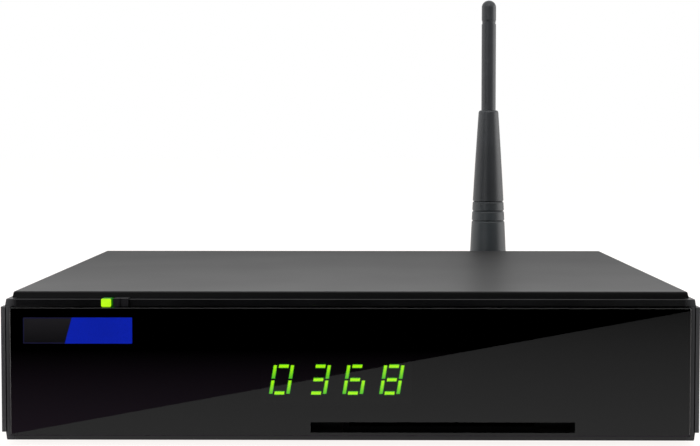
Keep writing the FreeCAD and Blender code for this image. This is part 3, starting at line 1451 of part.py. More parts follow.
def optical_port():
    """Optical socket: square mouth, and bearings for its shutter."""
    shell = block(
        around(OPTICAL_X, OPTICAL_WIDTH),
        (PORT_FACE - OPTICAL_DEPTH, PORT_FACE),
        (BOARD_TOP, BOARD_TOP + OPTICAL_HEIGHT),
    )
    mouth = block(
        around(OPTICAL_X, SHUTTER_WIDTH + 2 * SHUTTER_GAP),
        (PORT_FACE - OPTICAL_MOUTH_DEPTH, PORT_FACE + CUT_OVER),
        (OPTICAL_MOUTH_FOOT, SHUTTER_PIVOT_Z + 2 * SHUTTER_PIN),
    )
    reach = SHUTTER_WIDTH / 2 + SHUTTER_PIN_REACH + PIN_END_PLAY
    start = Vector(OPTICAL_X - reach, SHUTTER_PIVOT_Y, SHUTTER_PIVOT_Z)
    return shell.cut([mouth, cylinder(SHUTTER_PIN + RUNNING_GAP, start, ALONG_X, 2 * reach)])


def optical_shutter():
    """Sprung flap that hangs from two pins at its upper edge."""
    flap = block(
        around(OPTICAL_X, SHUTTER_WIDTH),
        around(SHUTTER_PIVOT_Y, SHUTTER_THICK),
        (SHUTTER_PIVOT_Z - SHUTTER_HEIGHT, SHUTTER_PIVOT_Z),
    )
    reach = SHUTTER_WIDTH / 2 + SHUTTER_PIN_REACH
    start = Vector(OPTICAL_X - reach, SHUTTER_PIVOT_Y, SHUTTER_PIVOT_Z)
    return join([flap, cylinder(SHUTTER_PIN, start, ALONG_X, 2 * reach)])


def av_jack():
    """3.5 mm jack with a round collar through the panel."""
    start = PORT_FACE - AV_DEPTH
    body = block(around(AV_X, AV_WIDTH), (start, REAR_INNER - EDGE_GAP), (BOARD_TOP, BOARD_TOP + AV_HEIGHT))
    collar_start = start + 2 * JACK_WALL
    collar = cylinder(AV_COLLAR_RADIUS, Vector(AV_X, collar_start, AV_Z), ALONG_Y, PORT_FACE - collar_start)
    bore = cylinder(AV_BORE, Vector(AV_X, start + JACK_WALL, AV_Z), ALONG_Y, AV_DEPTH)
    return join([body, collar]).cut(bore)


def dc_jack():
    """Supply socket with a round collar."""
    start = PORT_FACE - DC_DEPTH
    body = block(around(DC_X, DC_WIDTH), (start, REAR_INNER - EDGE_GAP), (BOARD_TOP, BOARD_TOP + DC_HEIGHT))
    collar_start = start + 2 * JACK_WALL
    collar = cylinder(DC_COLLAR_RADIUS, Vector(DC_X, collar_start, DC_Z), ALONG_Y, PORT_FACE - collar_start)
    bore_start = Vector(DC_X, PORT_FACE - DC_BORE_DEPTH, DC_Z)
    bore = cylinder(DC_BORE, bore_start, ALONG_Y, DC_BORE_DEPTH + CUT_OVER)
    return join([body, collar]).cut(bore)


def dc_pin():
    """Centre pin of the supply socket."""
    length = DC_BORE_DEPTH - PORT_PROUD
    tip = DC_PIN_RADIUS / 2
    centre = Vector(DC_X, PORT_FACE - DC_BORE_DEPTH, DC_Z)
    profile = [(0, 0), (DC_PIN_RADIUS, 0), (DC_PIN_RADIUS, length - tip), (tip, length), (0, length)]
    return turned(profile, centre, ALONG_Y)


# Power switch

SWITCH_BODY_WIDTH = 8.6
SWITCH_BODY_HEIGHT = 13.4
SWITCH_BODY_DEPTH = 12.0
SWITCH_FLANGE_WIDTH = 10.6
SWITCH_FLANGE_HEIGHT = 15.2
SWITCH_FLANGE_THICK = 1.6
SWITCH_FLANGE_CORNER = 1.0
TERMINAL_THICK = 0.8
TERMINAL_WIDTH = 4.8
TERMINAL_LENGTH = 6.0
TERMINAL_PITCH = 7.0
ROCKER_WIDTH = 6.6
ROCKER_LENGTH = 11.0
ROCKER_TILT = 8.0             # degrees to each side of level
ROCKER_PIN = 0.9
ROCKER_PIN_REACH = 0.7
ROCKER_PIVOT_PROUD = 0.2      # pivot outside the rear panel
ROCKER_PIVOT_Y = REAR_FACE + ROCKER_PIVOT_PROUD
ROCKER_REACH = 3.0            # pivot to the ends of the face
ROCKER_HOLLOW = 1.1
ROCKER_EDGE = 0.6
ROCKER_BELLY = 1.5
ROCKER_BELLY_SHARE = 0.55
ROCKER_GAP = 0.2
ROCKER_END_GAP = 0.8
ROCKER_WELL = 6.5


def power_switch():
    """Switch housing with a flange outside the panel and two terminals inside."""
    flange = front_plate(
        around(SWITCH_X, SWITCH_FLANGE_WIDTH),
        around(SWITCH_Z, SWITCH_FLANGE_HEIGHT),
        (REAR_FACE, REAR_FACE + SWITCH_FLANGE_THICK),
        SWITCH_FLANGE_CORNER,
    )
    inner_end = REAR_FACE - SWITCH_BODY_DEPTH
    body = block(
        around(SWITCH_X, SWITCH_BODY_WIDTH), (inner_end, REAR_FACE), around(SWITCH_Z, SWITCH_BODY_HEIGHT)
    )
    well = block(
        around(SWITCH_X, ROCKER_WIDTH + 2 * ROCKER_GAP),
        (ROCKER_PIVOT_Y - ROCKER_WELL, REAR_FACE + SWITCH_FLANGE_THICK + CUT_OVER),
        around(SWITCH_Z, ROCKER_LENGTH + 2 * ROCKER_END_GAP),
    )
    reach = ROCKER_WIDTH / 2 + ROCKER_PIN_REACH + PIN_END_PLAY
    bearing_start = Vector(SWITCH_X - reach, ROCKER_PIVOT_Y, SWITCH_Z)
    bearing = cylinder(ROCKER_PIN + RUNNING_GAP, bearing_start, ALONG_X, 2 * reach)
    terminal_x = around(SWITCH_X, TERMINAL_THICK)
    terminal_y = (inner_end - TERMINAL_LENGTH, inner_end)
    terminals = [
        block(terminal_x, terminal_y, around(z, TERMINAL_WIDTH)) for z in around(SWITCH_Z, TERMINAL_PITCH)
    ]
    return join([flange, body] + terminals).cut([well, bearing])


def power_rocker():
    """Rocker with a hollowed face, at rest with its upper end pressed in."""
    half = ROCKER_LENGTH / 2
    face = ROCKER_PIVOT_Y + ROCKER_REACH
    belly = ROCKER_PIVOT_Y - ROCKER_BELLY
    side = ROCKER_PIVOT_Y + ROCKER_EDGE
    points = [
        Vector(0, belly, SWITCH_Z - half * ROCKER_BELLY_SHARE),
        Vector(0, side, SWITCH_Z - half),
        Vector(0, face, SWITCH_Z - half + ROCKER_GAP),
        Vector(0, face - ROCKER_HOLLOW, SWITCH_Z),
        Vector(0, face, SWITCH_Z + half - ROCKER_GAP),
        Vector(0, side, SWITCH_Z + half),
        Vector(0, belly, SWITCH_Z + half * ROCKER_BELLY_SHARE),
    ]
    edges = [
        Part.LineSegment(points[0], points[1]).toShape(),
        Part.LineSegment(points[1], points[2]).toShape(),
        Part.Arc(points[2], points[3], points[4]).toShape(),
        Part.LineSegment(points[4], points[5]).toShape(),
        Part.LineSegment(points[5], points[6]).toShape(),
        Part.LineSegment(points[6], points[0]).toShape(),
    ]
    body = Part.Face(Part.Wire(edges)).extrude(ALONG_X * ROCKER_WIDTH)
    body.translate(Vector(SWITCH_X - ROCKER_WIDTH / 2, 0, 0))
    reach = ROCKER_WIDTH / 2 + ROCKER_PIN_REACH
    pin = cylinder(ROCKER_PIN, Vector(SWITCH_X - reach, ROCKER_PIVOT_Y, SWITCH_Z), ALONG_X, 2 * reach)
    rocker = join([body, pin])
    rocker.rotate(Vector(SWITCH_X, ROCKER_PIVOT_Y, SWITCH_Z), ALONG_X, ROCKER_TILT)
    return rocker


# WLAN module, its lead and the antenna jack

MODULE_WIDTH = 16.0
MODULE_DEPTH = 20.0
MODULE_THICK = 1.2
MODULE_STEP = 4.9             # from the middle of the module to its lead socket
MODULE_INSET = 47.8           # from the rear edge of the main board
MODULE_X = WLAN_X - MODULE_STEP
MODULE_Y = BOARD_BACK - MODULE_INSET
MODULE_CAN_HEIGHT = 1.8
MODULE_CAN_INSET = 1.5
LEAD_SOCKET_RADIUS = 1.4
LEAD_SOCKET_HEIGHT = 1.6
LEAD_SOCKET_INSET = 3.5       # from the rear edge of the module
LEAD_SOCKET_Y = MODULE_Y + MODULE_DEPTH / 2 - LEAD_SOCKET_INSET
LEAD_BEND = 10.0
PIGTAIL_RADIUS = 0.6
JACK_HEX = 8.0
JACK_HEX_THICK = 2.0
JACK_TAIL = 5.0
JACK_TAIL_RADIUS = 1.8
JACK_BARREL = 9.0             # outside the rear panel
JACK_BORE_RADIUS = 2.0
JACK_BORE_FLOOR = 4.0
JACK_PIN_RADIUS = 0.5
JACK_PIN_DEPTH = 2.0


def wlan_module():
    """Small radio board with its can and the socket of the lead."""
    top = BOARD_TOP + MODULE_THICK
    front = MODULE_Y - MODULE_DEPTH / 2
    board = block(around(MODULE_X, MODULE_WIDTH), around(MODULE_Y, MODULE_DEPTH), (BOARD_TOP, top))
    can = block(
        around(MODULE_X, MODULE_WIDTH - 2 * MODULE_CAN_INSET),
        (front + MODULE_CAN_INSET, LEAD_SOCKET_Y - 2 * LEAD_SOCKET_RADIUS),
        (top, top + MODULE_CAN_HEIGHT),
    )
    socket = cylinder(LEAD_SOCKET_RADIUS, Vector(WLAN_X, LEAD_SOCKET_Y, top), ALONG_Z, LEAD_SOCKET_HEIGHT)
    return join([board, can, socket])


def antenna_pigtail():
    """Thin coaxial lead: two straight runs joined by a tangent arc, from the module up to the jack."""
    start = Vector(WLAN_X, LEAD_SOCKET_Y, BOARD_TOP + MODULE_THICK + LEAD_SOCKET_HEIGHT)
    corner = Vector(WLAN_X, LEAD_SOCKET_Y, WLAN_Z)
    end = Vector(WLAN_X, REAR_INNER - JACK_HEX_THICK - JACK_TAIL, WLAN_Z)
    first = corner - ALONG_Z * LEAD_BEND
    last = corner + ALONG_Y * LEAD_BEND
    centre = first + ALONG_Y * LEAD_BEND
    middle = centre + Vector(0, -LEAD_BEND, LEAD_BEND) * math.sqrt(0.5)
    path = Part.Wire(
        [
            Part.LineSegment(start, first).toShape(),
            Part.Arc(first, middle, last).toShape(),
            Part.LineSegment(last, end).toShape(),
        ]
    )
    section = Part.Wire(Part.Circle(start, ALONG_Z, PIGTAIL_RADIUS).toShape())
    return path.makePipeShell([section], True, True)


def antenna_jack():
    """Bulkhead jack: crimp tail and hexagon inside, threaded barrel through the rear panel."""
    centre = Vector(WLAN_X, REAR_INNER, WLAN_Z)
    hex_start = centre - ALONG_Y * JACK_HEX_THICK
    length = SHEET + JACK_BARREL
    tail = cylinder(JACK_TAIL_RADIUS, hex_start - ALONG_Y * JACK_TAIL, ALONG_Y, JACK_TAIL)
    hexagon = hex_prism(JACK_HEX, hex_start, ALONG_Y, JACK_HEX_THICK)
    barrel = cylinder(THREAD_RADIUS, centre, ALONG_Y, length)
    bore = cylinder(JACK_BORE_RADIUS, centre + ALONG_Y * JACK_BORE_FLOOR, ALONG_Y, length)
    pin_hole = cylinder(JACK_PIN_RADIUS, centre + ALONG_Y * JACK_PIN_DEPTH, ALONG_Y, length)
    return join([tail, hexagon, barrel]).cut([bore, pin_hole])


WASHER_THICK = 0.5
WASHER_RADIUS = 5.0
JACK_NUT_THICK = 1.8


def jack_washer():
    centre = Vector(WLAN_X, REAR_FACE, WLAN_Z)
    profile = [
        (THREAD_RADIUS, 0),
        (WASHER_RADIUS, 0),
        (WASHER_RADIUS, WASHER_THICK),
        (THREAD_RADIUS, WASHER_THICK),
    ]
    return turned(profile, centre, ALONG_Y)


def jack_nut():
    centre = Vector(WLAN_X, REAR_FACE + WASHER_THICK, WLAN_Z)
    nut = hex_prism(JACK_HEX, centre, ALONG_Y, JACK_NUT_THICK)
    return nut.cut(cylinder(THREAD_RADIUS, centre - ALONG_Y, ALONG_Y, JACK_NUT_THICK + 2 * CUT_OVER))


# Antenna

COUPLING_START = REAR_FACE + WASHER_THICK + JACK_NUT_THICK
COUPLING_END = COUPLING_START + COUPLING_LENGTH
KNUCKLE_START = COUPLING_END + HINGE_GAP
COLLAR_END = PIVOT_Y - SLEEVE_BASE_RADIUS - HINGE_GAP
NECK_RADIUS = 2.2
NECK_HEAD_RADIUS = 2.9
NECK_LENGTH = 3.8
COUPLING_RIM = 3.0            # inward rim of the coupling nut that holds the neck's head
COUPLING_CHAMFER = 0.5
KNURL_COUNT = 18
KNURL_RADIUS = 0.5
KNURL_MARGIN = 1.8            # smooth band at each end of the nut
PIN_INSET = 0.6               # the hinge pin's ends lie this far inside the sleeve


def antenna_coupling_nut():
    """Knurled nut that screws the antenna on the jack, with an inward rim that holds the neck."""
    centre = Vector(WLAN_X, COUPLING_START, WLAN_Z)
    thread_depth = COUPLING_LENGTH - COUPLING_RIM
    shoulder = COUPLING_RADIUS - COUPLING_CHAMFER
    neck_hole = NECK_RADIUS + RUNNING_GAP
    profile = [
        (THREAD_RADIUS, 0),
        (shoulder, 0),
        (COUPLING_RADIUS, COUPLING_CHAMFER),
        (COUPLING_RADIUS, COUPLING_LENGTH - COUPLING_CHAMFER),
        (shoulder, COUPLING_LENGTH),
        (neck_hole, COUPLING_LENGTH),
        (neck_hole, thread_depth),
        (THREAD_RADIUS, thread_depth),
    ]
    reach = COUPLING_RADIUS + KNURL_RADIUS / 2
    flutes = []
    for step in range(KNURL_COUNT):
        angle = 2 * math.pi * step / KNURL_COUNT
        foot = centre + Vector(reach * math.cos(angle), KNURL_MARGIN, reach * math.sin(angle))
        flutes.append(cylinder(KNURL_RADIUS, foot, ALONG_Y, COUPLING_LENGTH - 2 * KNURL_MARGIN))
    return turned(profile, centre, ALONG_Y).cut(flutes)


def antenna_knuckle():
    """Swivel base: headed neck in the coupling nut, round collar, and the tongue of the hinge."""
    neck_start = KNUCKLE_START - NECK_LENGTH
    centre = Vector(WLAN_X, neck_start, WLAN_Z)
    collar = COLLAR_END - neck_start
    head_end = NECK_LENGTH - COUPLING_RIM - HINGE_GAP - RUNNING_GAP
    profile = [
        (0, 0),
        (NECK_HEAD_RADIUS, 0),
        (NECK_HEAD_RADIUS, head_end),
        (NECK_RADIUS, head_end),
        (NECK_RADIUS, NECK_LENGTH),
        (KNUCKLE_RADIUS, NECK_LENGTH),
        (KNUCKLE_RADIUS, collar),
        (0, collar),
    ]
    base = turned(profile, centre, ALONG_Y)
    tongue_x = around(WLAN_X, TONGUE_WIDTH)
    tongue = block(tongue_x, (COLLAR_END, PIVOT_Y), around(WLAN_Z, 2 * TONGUE_RADIUS))
    tongue = tongue.common(cylinder(KNUCKLE_RADIUS, centre, ALONG_Y, PIVOT_Y - neck_start))
    nose = cylinder(TONGUE_RADIUS, Vector(tongue_x[0], PIVOT_Y, WLAN_Z), ALONG_X, TONGUE_WIDTH)
    hole_start = Vector(tongue_x[0] - CUT_OVER, PIVOT_Y, WLAN_Z)
    hole = cylinder(PIN_RADIUS + RUNNING_GAP, hole_start, ALONG_X, TONGUE_WIDTH + 2 * CUT_OVER)
    return join([base, tongue, nose]).cut(hole)


def sleeve_radius(height):
    """Radius of the barrelled taper at a height above the hinge axis."""
    share = height / SLEEVE_LENGTH
    taper = SLEEVE_BASE_RADIUS + (SLEEVE_TOP_RADIUS - SLEEVE_BASE_RADIUS) * share
    return taper + SLEEVE_BARREL * math.sin(math.pi * share)


def sleeve_profile():
    """Points up the outside of the sleeve, from the hinge axis to its rounded shoulder."""
    straight = SLEEVE_LENGTH - SLEEVE_SHOULDER
    heights = [straight * step / SLEEVE_STATIONS for step in range(SLEEVE_STATIONS + 1)]
    points = [(sleeve_radius(height), height) for height in heights]
    top_radius = sleeve_radius(SLEEVE_LENGTH)
    for inward, down in SHOULDER_STEPS:
        points.append((top_radius - SLEEVE_SHOULDER * inward, SLEEVE_LENGTH - SLEEVE_SHOULDER * down))
    return points


def ring_groove(height):
    """Ring with a pointed inner edge, to be cut from the sleeve at a height."""
    surface = sleeve_radius(height)
    half = RING_GROOVE_WIDTH / 2
    outside = surface + CUT_OVER
    spread = half * (1 + CUT_OVER / RING_GROOVE_DEPTH)
    profile = [
        (surface - RING_GROOVE_DEPTH, height),
        (outside, height - spread),
        (outside, height + spread),
    ]
    return turned(profile, Vector(WLAN_X, PIVOT_Y, WLAN_Z), ALONG_Z)


def antenna_sleeve():
    """Tapered rubber boot with ring grooves; its round foot is forked for the knuckle's tongue."""
    pivot = Vector(WLAN_X, PIVOT_Y, WLAN_Z)
    seat = SLEEVE_LENGTH - ROD_SEAT
    profile = [(0, 0)] + sleeve_profile() + [(ROD_RADIUS, SLEEVE_LENGTH), (ROD_RADIUS, seat), (0, seat)]
    upper = turned(profile, pivot, ALONG_Z)
    lower = cylinder(SLEEVE_BASE_RADIUS, pivot - ALONG_Z * SLEEVE_BASE_RADIUS, ALONG_Z, SLEEVE_BASE_RADIUS)
    across_start = pivot - ALONG_X * (SLEEVE_BASE_RADIUS + CUT_OVER)
    across_length = 2 * (SLEEVE_BASE_RADIUS + CUT_OVER)
    lower = lower.common(cylinder(SLEEVE_BASE_RADIUS, across_start, ALONG_X, across_length))
    reach = TONGUE_RADIUS + HINGE_GAP
    slot = block(
        around(WLAN_X, TONGUE_WIDTH + 2 * HINGE_GAP),
        (PIVOT_Y - SLEEVE_BASE_RADIUS - CUT_OVER, PIVOT_Y + reach),
        (WLAN_Z - SLEEVE_BASE_RADIUS - CUT_OVER, WLAN_Z + reach),
    )
    hole = cylinder(PIN_RADIUS, across_start, ALONG_X, across_length)
    grooves = [ring_groove(height) for height in RING_GROOVES]
    return join([upper, lower]).cut([slot, hole] + grooves)


def antenna_hinge_pin():
    half = SLEEVE_BASE_RADIUS - PIN_INSET
    return cylinder(PIN_RADIUS, Vector(WLAN_X - half, PIVOT_Y, WLAN_Z), ALONG_X, 2 * half)


def antenna_rod():
    """Upper part of the whip, seated in the sleeve."""
    foot = SLEEVE_LENGTH - ROD_SEAT
    length = ANTENNA_LENGTH - CAP_LENGTH - foot
    return cylinder(ROD_RADIUS, Vector(WLAN_X, PIVOT_Y, WLAN_Z + foot), ALONG_Z, length)


def antenna_tip_cap():
    """Moulded cap with a ring groove at its foot and a domed end."""
    neck = ROD_RADIUS - CAP_GROOVE_DEPTH
    points = [
        Vector(0, 0, 0),
        Vector(neck, 0, 0),
        Vector(neck, 0, CAP_GROOVE_HEIGHT / 2),
        Vector(ROD_RADIUS, 0, CAP_GROOVE_HEIGHT),
        Vector(ROD_RADIUS, 0, CAP_LENGTH - CAP_DOME),
    ]
    crown = Vector(ROD_RADIUS - CAP_DOME, 0, CAP_LENGTH)
    dome_centre = Vector(crown.x, 0, CAP_LENGTH - CAP_DOME)
    middle = dome_centre + Vector(CAP_DOME, 0, CAP_DOME) * math.sqrt(0.5)
    top = Vector(0, 0, CAP_LENGTH)
    edges = [Part.LineSegment(points[step], points[step + 1]).toShape() for step in range(len(points) - 1)]
    edges.append(Part.Arc(points[-1], middle, crown).toShape())
    edges.append(Part.LineSegment(crown, top).toShape())
    edges.append(Part.LineSegment(top, points[0]).toShape())
    cap = Part.Face(Part.Wire(edges)).revolve(Vector(0, 0, 0), ALONG_Z, 360)
    cap.translate(Vector(WLAN_X, PIVOT_Y, WLAN_Z + ANTENNA_LENGTH - CAP_LENGTH))
    return cap


def main():
    os.makedirs("parts", exist_ok=True)
    save("top_cover", top_cover())
    save("base_tray", base_tray())
    save("rear_panel", rear_panel())
    save("cover_screws", *cover_screws())
    save("rubber_feet", *rubber_feet())
    save("front_bezel", front_bezel())
    save("front_window", front_window())
    save("emblem_plate", emblem_plate())
    save("emblem_field", emblem_field())
    save("power_light_guide", power_light_guide())
    save("power_led", power_led())
    save("standby_button", standby_button())
    save("tact_switch", tact_switch())
    save("tact_plunger", tact_plunger())
    save("display_housing", display_housing())
    save("display_lit_segments", *display_bars(lit=True))
    save("display_dark_segments", *display_bars(lit=False))
    save("infrared_receiver", infrared_receiver())
    save("front_board", front_board())
    save("front_board_screws", *front_board_screws())
    save("main_board", main_board())
    save("board_standoffs", *board_standoffs())
    save("main_board_screws", *main_board_screws())
    save("main_chip", main_chip())
    save("heat_sink", heat_sink())
    save("memory_chips", *memory_chips())
    save("capacitors", *capacitors())
    save("inductors", *inductors())
    save("crystal", crystal())
    save("card_reader", card_reader())
    save("cable_sockets", *cable_sockets())
    save("flat_cable", flat_cable())
    save("tuner_can", tuner_can())
    save("satellite_input", satellite_input())
    save("satellite_contact", satellite_contact())
    save("aerial_input", aerial_input())
    save("aerial_contact", aerial_contact())
    save("hdmi_port", hdmi_port())
    save("usb_ports", usb_ports())
    save("lan_jack", lan_jack())
    save("lan_contacts", *lan_contacts())
    save("optical_port", optical_port())
    save("optical_shutter", optical_shutter())
    save("av_jack", av_jack())
    save("dc_jack", dc_jack())
    save("dc_pin", dc_pin())
    save("power_switch", power_switch())
    save("power_rocker", power_rocker())
    save("wlan_module", wlan_module())
    save("antenna_pigtail", antenna_pigtail())
    save("antenna_jack", antenna_jack())
    save("jack_washer", jack_washer())
    save("jack_nut", jack_nut())
    save("antenna_coupling_nut", antenna_coupling_nut())
    save("antenna_knuckle", antenna_knuckle())
    save("antenna_sleeve", antenna_sleeve())
    save("antenna_hinge_pin", antenna_hinge_pin())
    save("antenna_rod", antenna_rod())
    save("antenna_tip_cap", antenna_tip_cap())


main()
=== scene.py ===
"""Looks of the satellite TV receiver: procedural materials, studio, lights and camera."""
import json
import math

import bpy
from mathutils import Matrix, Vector

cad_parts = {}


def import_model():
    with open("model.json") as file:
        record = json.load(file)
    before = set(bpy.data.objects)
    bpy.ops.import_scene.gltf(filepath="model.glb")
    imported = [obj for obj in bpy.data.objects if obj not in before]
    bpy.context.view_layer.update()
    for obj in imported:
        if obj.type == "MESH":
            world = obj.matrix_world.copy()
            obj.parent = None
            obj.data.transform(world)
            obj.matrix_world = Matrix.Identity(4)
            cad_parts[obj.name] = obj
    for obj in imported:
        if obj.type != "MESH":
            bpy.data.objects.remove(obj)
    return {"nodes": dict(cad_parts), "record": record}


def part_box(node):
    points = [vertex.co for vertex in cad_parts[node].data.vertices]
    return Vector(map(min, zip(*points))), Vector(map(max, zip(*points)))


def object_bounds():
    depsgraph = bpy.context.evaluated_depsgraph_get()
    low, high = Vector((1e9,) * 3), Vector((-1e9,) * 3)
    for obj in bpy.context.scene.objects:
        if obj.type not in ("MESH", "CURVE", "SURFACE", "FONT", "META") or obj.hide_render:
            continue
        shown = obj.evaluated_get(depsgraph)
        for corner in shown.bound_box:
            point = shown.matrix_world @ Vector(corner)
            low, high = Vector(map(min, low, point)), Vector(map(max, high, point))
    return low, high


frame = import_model()
CAD_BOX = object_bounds()
MM = 0.001
NODES = frame["nodes"]


# Sizes of the part that its patterns follow

ANTENNA_REACH = 30 * MM                  # how far the antenna stands behind the cover
CHEEK_RAMP = (98.0 * MM, 101.0 * MM)     # from the middle: smooth frame, then the grain and painted highlight of the cheeks
DIGIT_PITCH = 10.8 * MM
DIGIT_WIDTH = 6.1 * MM
DIGIT_SLANT = math.radians(9.4)
BAR_WIDTH = 1.06 * MM
SHELL_WALL = 0.45 * MM
LAN_WALL = 1.9 * MM
SATELLITE_AXIS = (86.0 * MM, 17.0 * MM)  # x and z
SATELLITE_PITCH = 0.794 * MM
ANTENNA_AXIS = (56.9 * MM, 30.0 * MM)    # x and z
ANTENNA_PITCH = 0.706 * MM
PAINTED_LIGHT_TOP = (80.0 * MM, 96.0 * MM)        # height over which the antenna is painted paler upward, as painted light
PAINTED_LIGHT_FOOT = (66.0 * MM, 58.0 * MM)       # and the one over which it is painted paler downward, as painted light


# Node graphs

NOISE_SPAN = (0.3, 0.7)                  # values between which most of a noise pattern lies


def colour(value):
    return (*value[:3], 1.0)


def shade(value, factor):
    return tuple(min(1.0, channel * factor) for channel in value[:3])


class Graph:
    """One material with its Principled shader, and short ways to add nodes to it."""

    def __init__(self, name):
        self.material = bpy.data.materials.new(name)
        self.material.use_nodes = True
        self.tree = self.material.node_tree
        self.shader = self.tree.nodes["Principled BSDF"]
        self.place = self.tree.nodes.new("ShaderNodeTexCoord").outputs["Object"]

    def set(self, **values):
        """Plain numbers of the shader, by their names in small letters."""
        for key, value in values.items():
            title = key.replace("_", " ").title().replace("Ior", "IOR")
            self.shader.inputs[title].default_value = value

    def feed(self, target, value):
        """Links a socket, or sets a plain value."""
        if isinstance(value, bpy.types.NodeSocket):
            self.tree.links.new(value, target)
        else:
            target.default_value = value

    def node(self, kind, **inputs):
        made = self.tree.nodes.new(kind)
        for key, value in inputs.items():
            self.feed(made.inputs[key], value)
        return made

    def math(self, operation, first, second=0.0):
        made = self.tree.nodes.new("ShaderNodeMath")
        made.operation = operation
        for socket, value in zip(made.inputs, (first, second)):
            self.feed(socket, value)
        return made.outputs[0]

    def noise(self, size, detail=3.0, rough=0.5, place=None):
        """Noise whose features are about `size` metres wide."""
        made = self.node("ShaderNodeTexNoise", Scale=1.0 / size, Detail=detail, Roughness=rough)
        self.tree.links.new(place or self.place, made.inputs["Vector"])
        return made.outputs["Fac"]

    def grain(self, size):
        """Noise with fine detail, for skins and haze."""
        return self.noise(size, detail=4.0, rough=0.6)

    def cells(self, size, feature="F1"):
        """Distance pattern of cells about `size` metres wide."""
        made = self.node("ShaderNodeTexVoronoi", Scale=1.0 / size)
        made.feature = feature
        self.tree.links.new(self.place, made.inputs["Vector"])
        return made.outputs["Distance"]

    def spread(self, factor, low, high, to_low=0.0, to_high=1.0):
        """The factor's span low..high, stretched to to_low..to_high."""
        made = self.tree.nodes.new("ShaderNodeMapRange")
        names = ("Value", "From Min", "From Max", "To Min", "To Max")
        for key, value in zip(names, (factor, low, high, to_low, to_high)):
            self.feed(made.inputs[key], value)
        return made.outputs["Result"]

    def drift(self, pattern, to_low, to_high):
        """A noise pattern's usual span, stretched to to_low..to_high."""
        return self.spread(pattern, *NOISE_SPAN, to_low, to_high)

    def vary(self, pattern, value, share):
        """The value, give or take a share of it, with a noise pattern."""
        return self.drift(pattern, value * (1.0 - share), value * (1.0 + share))

    def blend(self, factor, first, second):
        """Colour between two colours."""
        made = self.tree.nodes.new("ShaderNodeMix")
        made.data_type = "RGBA"
        self.feed(made.inputs["Factor"], factor)
        # of its inputs 6 and 7 are the two colours, and of its outputs 2 is their mix
        for socket, value in ((made.inputs[6], first), (made.inputs[7], second)):
            self.feed(socket, value if isinstance(value, bpy.types.NodeSocket) else colour(value))
        return made.outputs[2]

    def scaled(self, tint, factor):
        """Colour times a factor."""
        made = self.node("ShaderNodeVectorMath", Vector=tint)
        made.operation = "SCALE"
        self.feed(made.inputs["Scale"], factor)
        return made.outputs["Vector"]

    def speckle(self, size):
        """1, with faint darker specks."""
        return self.spread(self.noise(size, detail=2.0), 0.2, 0.8, 0.95, 1.0)

    def axis(self, name):
        """One coordinate of the piece's own space."""
        split = self.node("ShaderNodeSeparateXYZ", Vector=self.place)
        return split.outputs[name]

    def offset(self, name, middle):
        """Signed distance from `middle` along one axis."""
        return self.math("SUBTRACT", self.axis(name), middle)

    def within(self, name, middle, half):
        """1 where the coordinate is less than `half` away from `middle`."""
        return self.math("LESS_THAN", self.math("ABSOLUTE", self.offset(name, middle)), half)

    def times(self, first, second):
        return self.math("MULTIPLY", first, second)

    def flip(self, factor):
        """1 minus the factor."""
        return self.math("SUBTRACT", 1.0, factor)

    def paint(self, value):
        self.feed(self.shader.inputs["Base Color"], value)

    def gloss(self, value):
        self.feed(self.shader.inputs["Roughness"], value)

    def glow(self, value, strength):
        self.feed(self.shader.inputs["Emission Color"], value)
        self.set(emission_strength=strength)

    def relief(self, height, depth, strength=1.0):
        """Bump of a height pattern 0..1 that is `depth` metres deep."""
        made = self.node("ShaderNodeBump", Height=height, Strength=strength, Distance=depth)
        self.tree.links.new(made.outputs["Normal"], self.shader.inputs["Normal"])


# Plastics and rubber

MOULD_GRAIN = 0.12 * MM
MOULD_PATCH = 14 * MM                    # width of the patches in which a moulded face varies
PLASTIC_PATCHINESS = 0.15
SCREEN_DOT = 0.16 * MM


def moulded_plastic(name, base, roughness=0.45, grain=MOULD_GRAIN, depth=0.006 * MM, specular=0.5):
    """Spark-eroded mould grain with slight shine where it is handled."""
    graph = Graph(name)
    graph.set(specular_ior_level=specular)
    wide = graph.noise(MOULD_PATCH, detail=2.0)
    graph.paint(graph.scaled(base, graph.vary(wide, 1.0, PLASTIC_PATCHINESS)))
    graph.gloss(graph.vary(wide, roughness, 0.1))
    graph.relief(graph.grain(grain), depth)
    return graph.material


def bezel_plastic(name, base, painted_cheek_highlight, smooth, dull):
    """Smooth moulded plastic that turns into the duller grain of the cheeks at both ends, which are also
    painted lighter as a painted highlight.
    """
    graph = Graph(name)
    wide = graph.noise(MOULD_PATCH, detail=2.0)
    cheek_grain_and_highlight = graph.spread(graph.math("ABSOLUTE", graph.axis("X")), *CHEEK_RAMP)
    # the cheeks' lighter tone is a painted highlight of side light on the frame's ends
    tone = graph.blend(cheek_grain_and_highlight, base, painted_cheek_highlight)
    graph.paint(graph.scaled(tone, graph.vary(wide, 1.0, PLASTIC_PATCHINESS)))
    roughness = graph.spread(cheek_grain_and_highlight, 0.0, 1.0, smooth, dull)
    graph.gloss(graph.math("ADD", roughness, graph.drift(wide, -0.02, 0.03)))
    grain_share = graph.spread(cheek_grain_and_highlight, 0.0, 1.0, 0.35, 1.0)
    graph.relief(graph.grain(0.09 * MM), 0.005 * MM, grain_share)
    return graph.material


def smoked_acrylic(name, lighter, darker):
    """Polished dark acrylic that lets a little light through, with faint handling haze."""
    graph = Graph(name)
    graph.set(ior=1.49, transmission_weight=1.0)
    haze = graph.grain(9 * MM)
    graph.paint(graph.blend(haze, darker, lighter))
    graph.gloss(graph.spread(haze, 0.35, 0.75, 0.0, 0.02))
    return graph.material


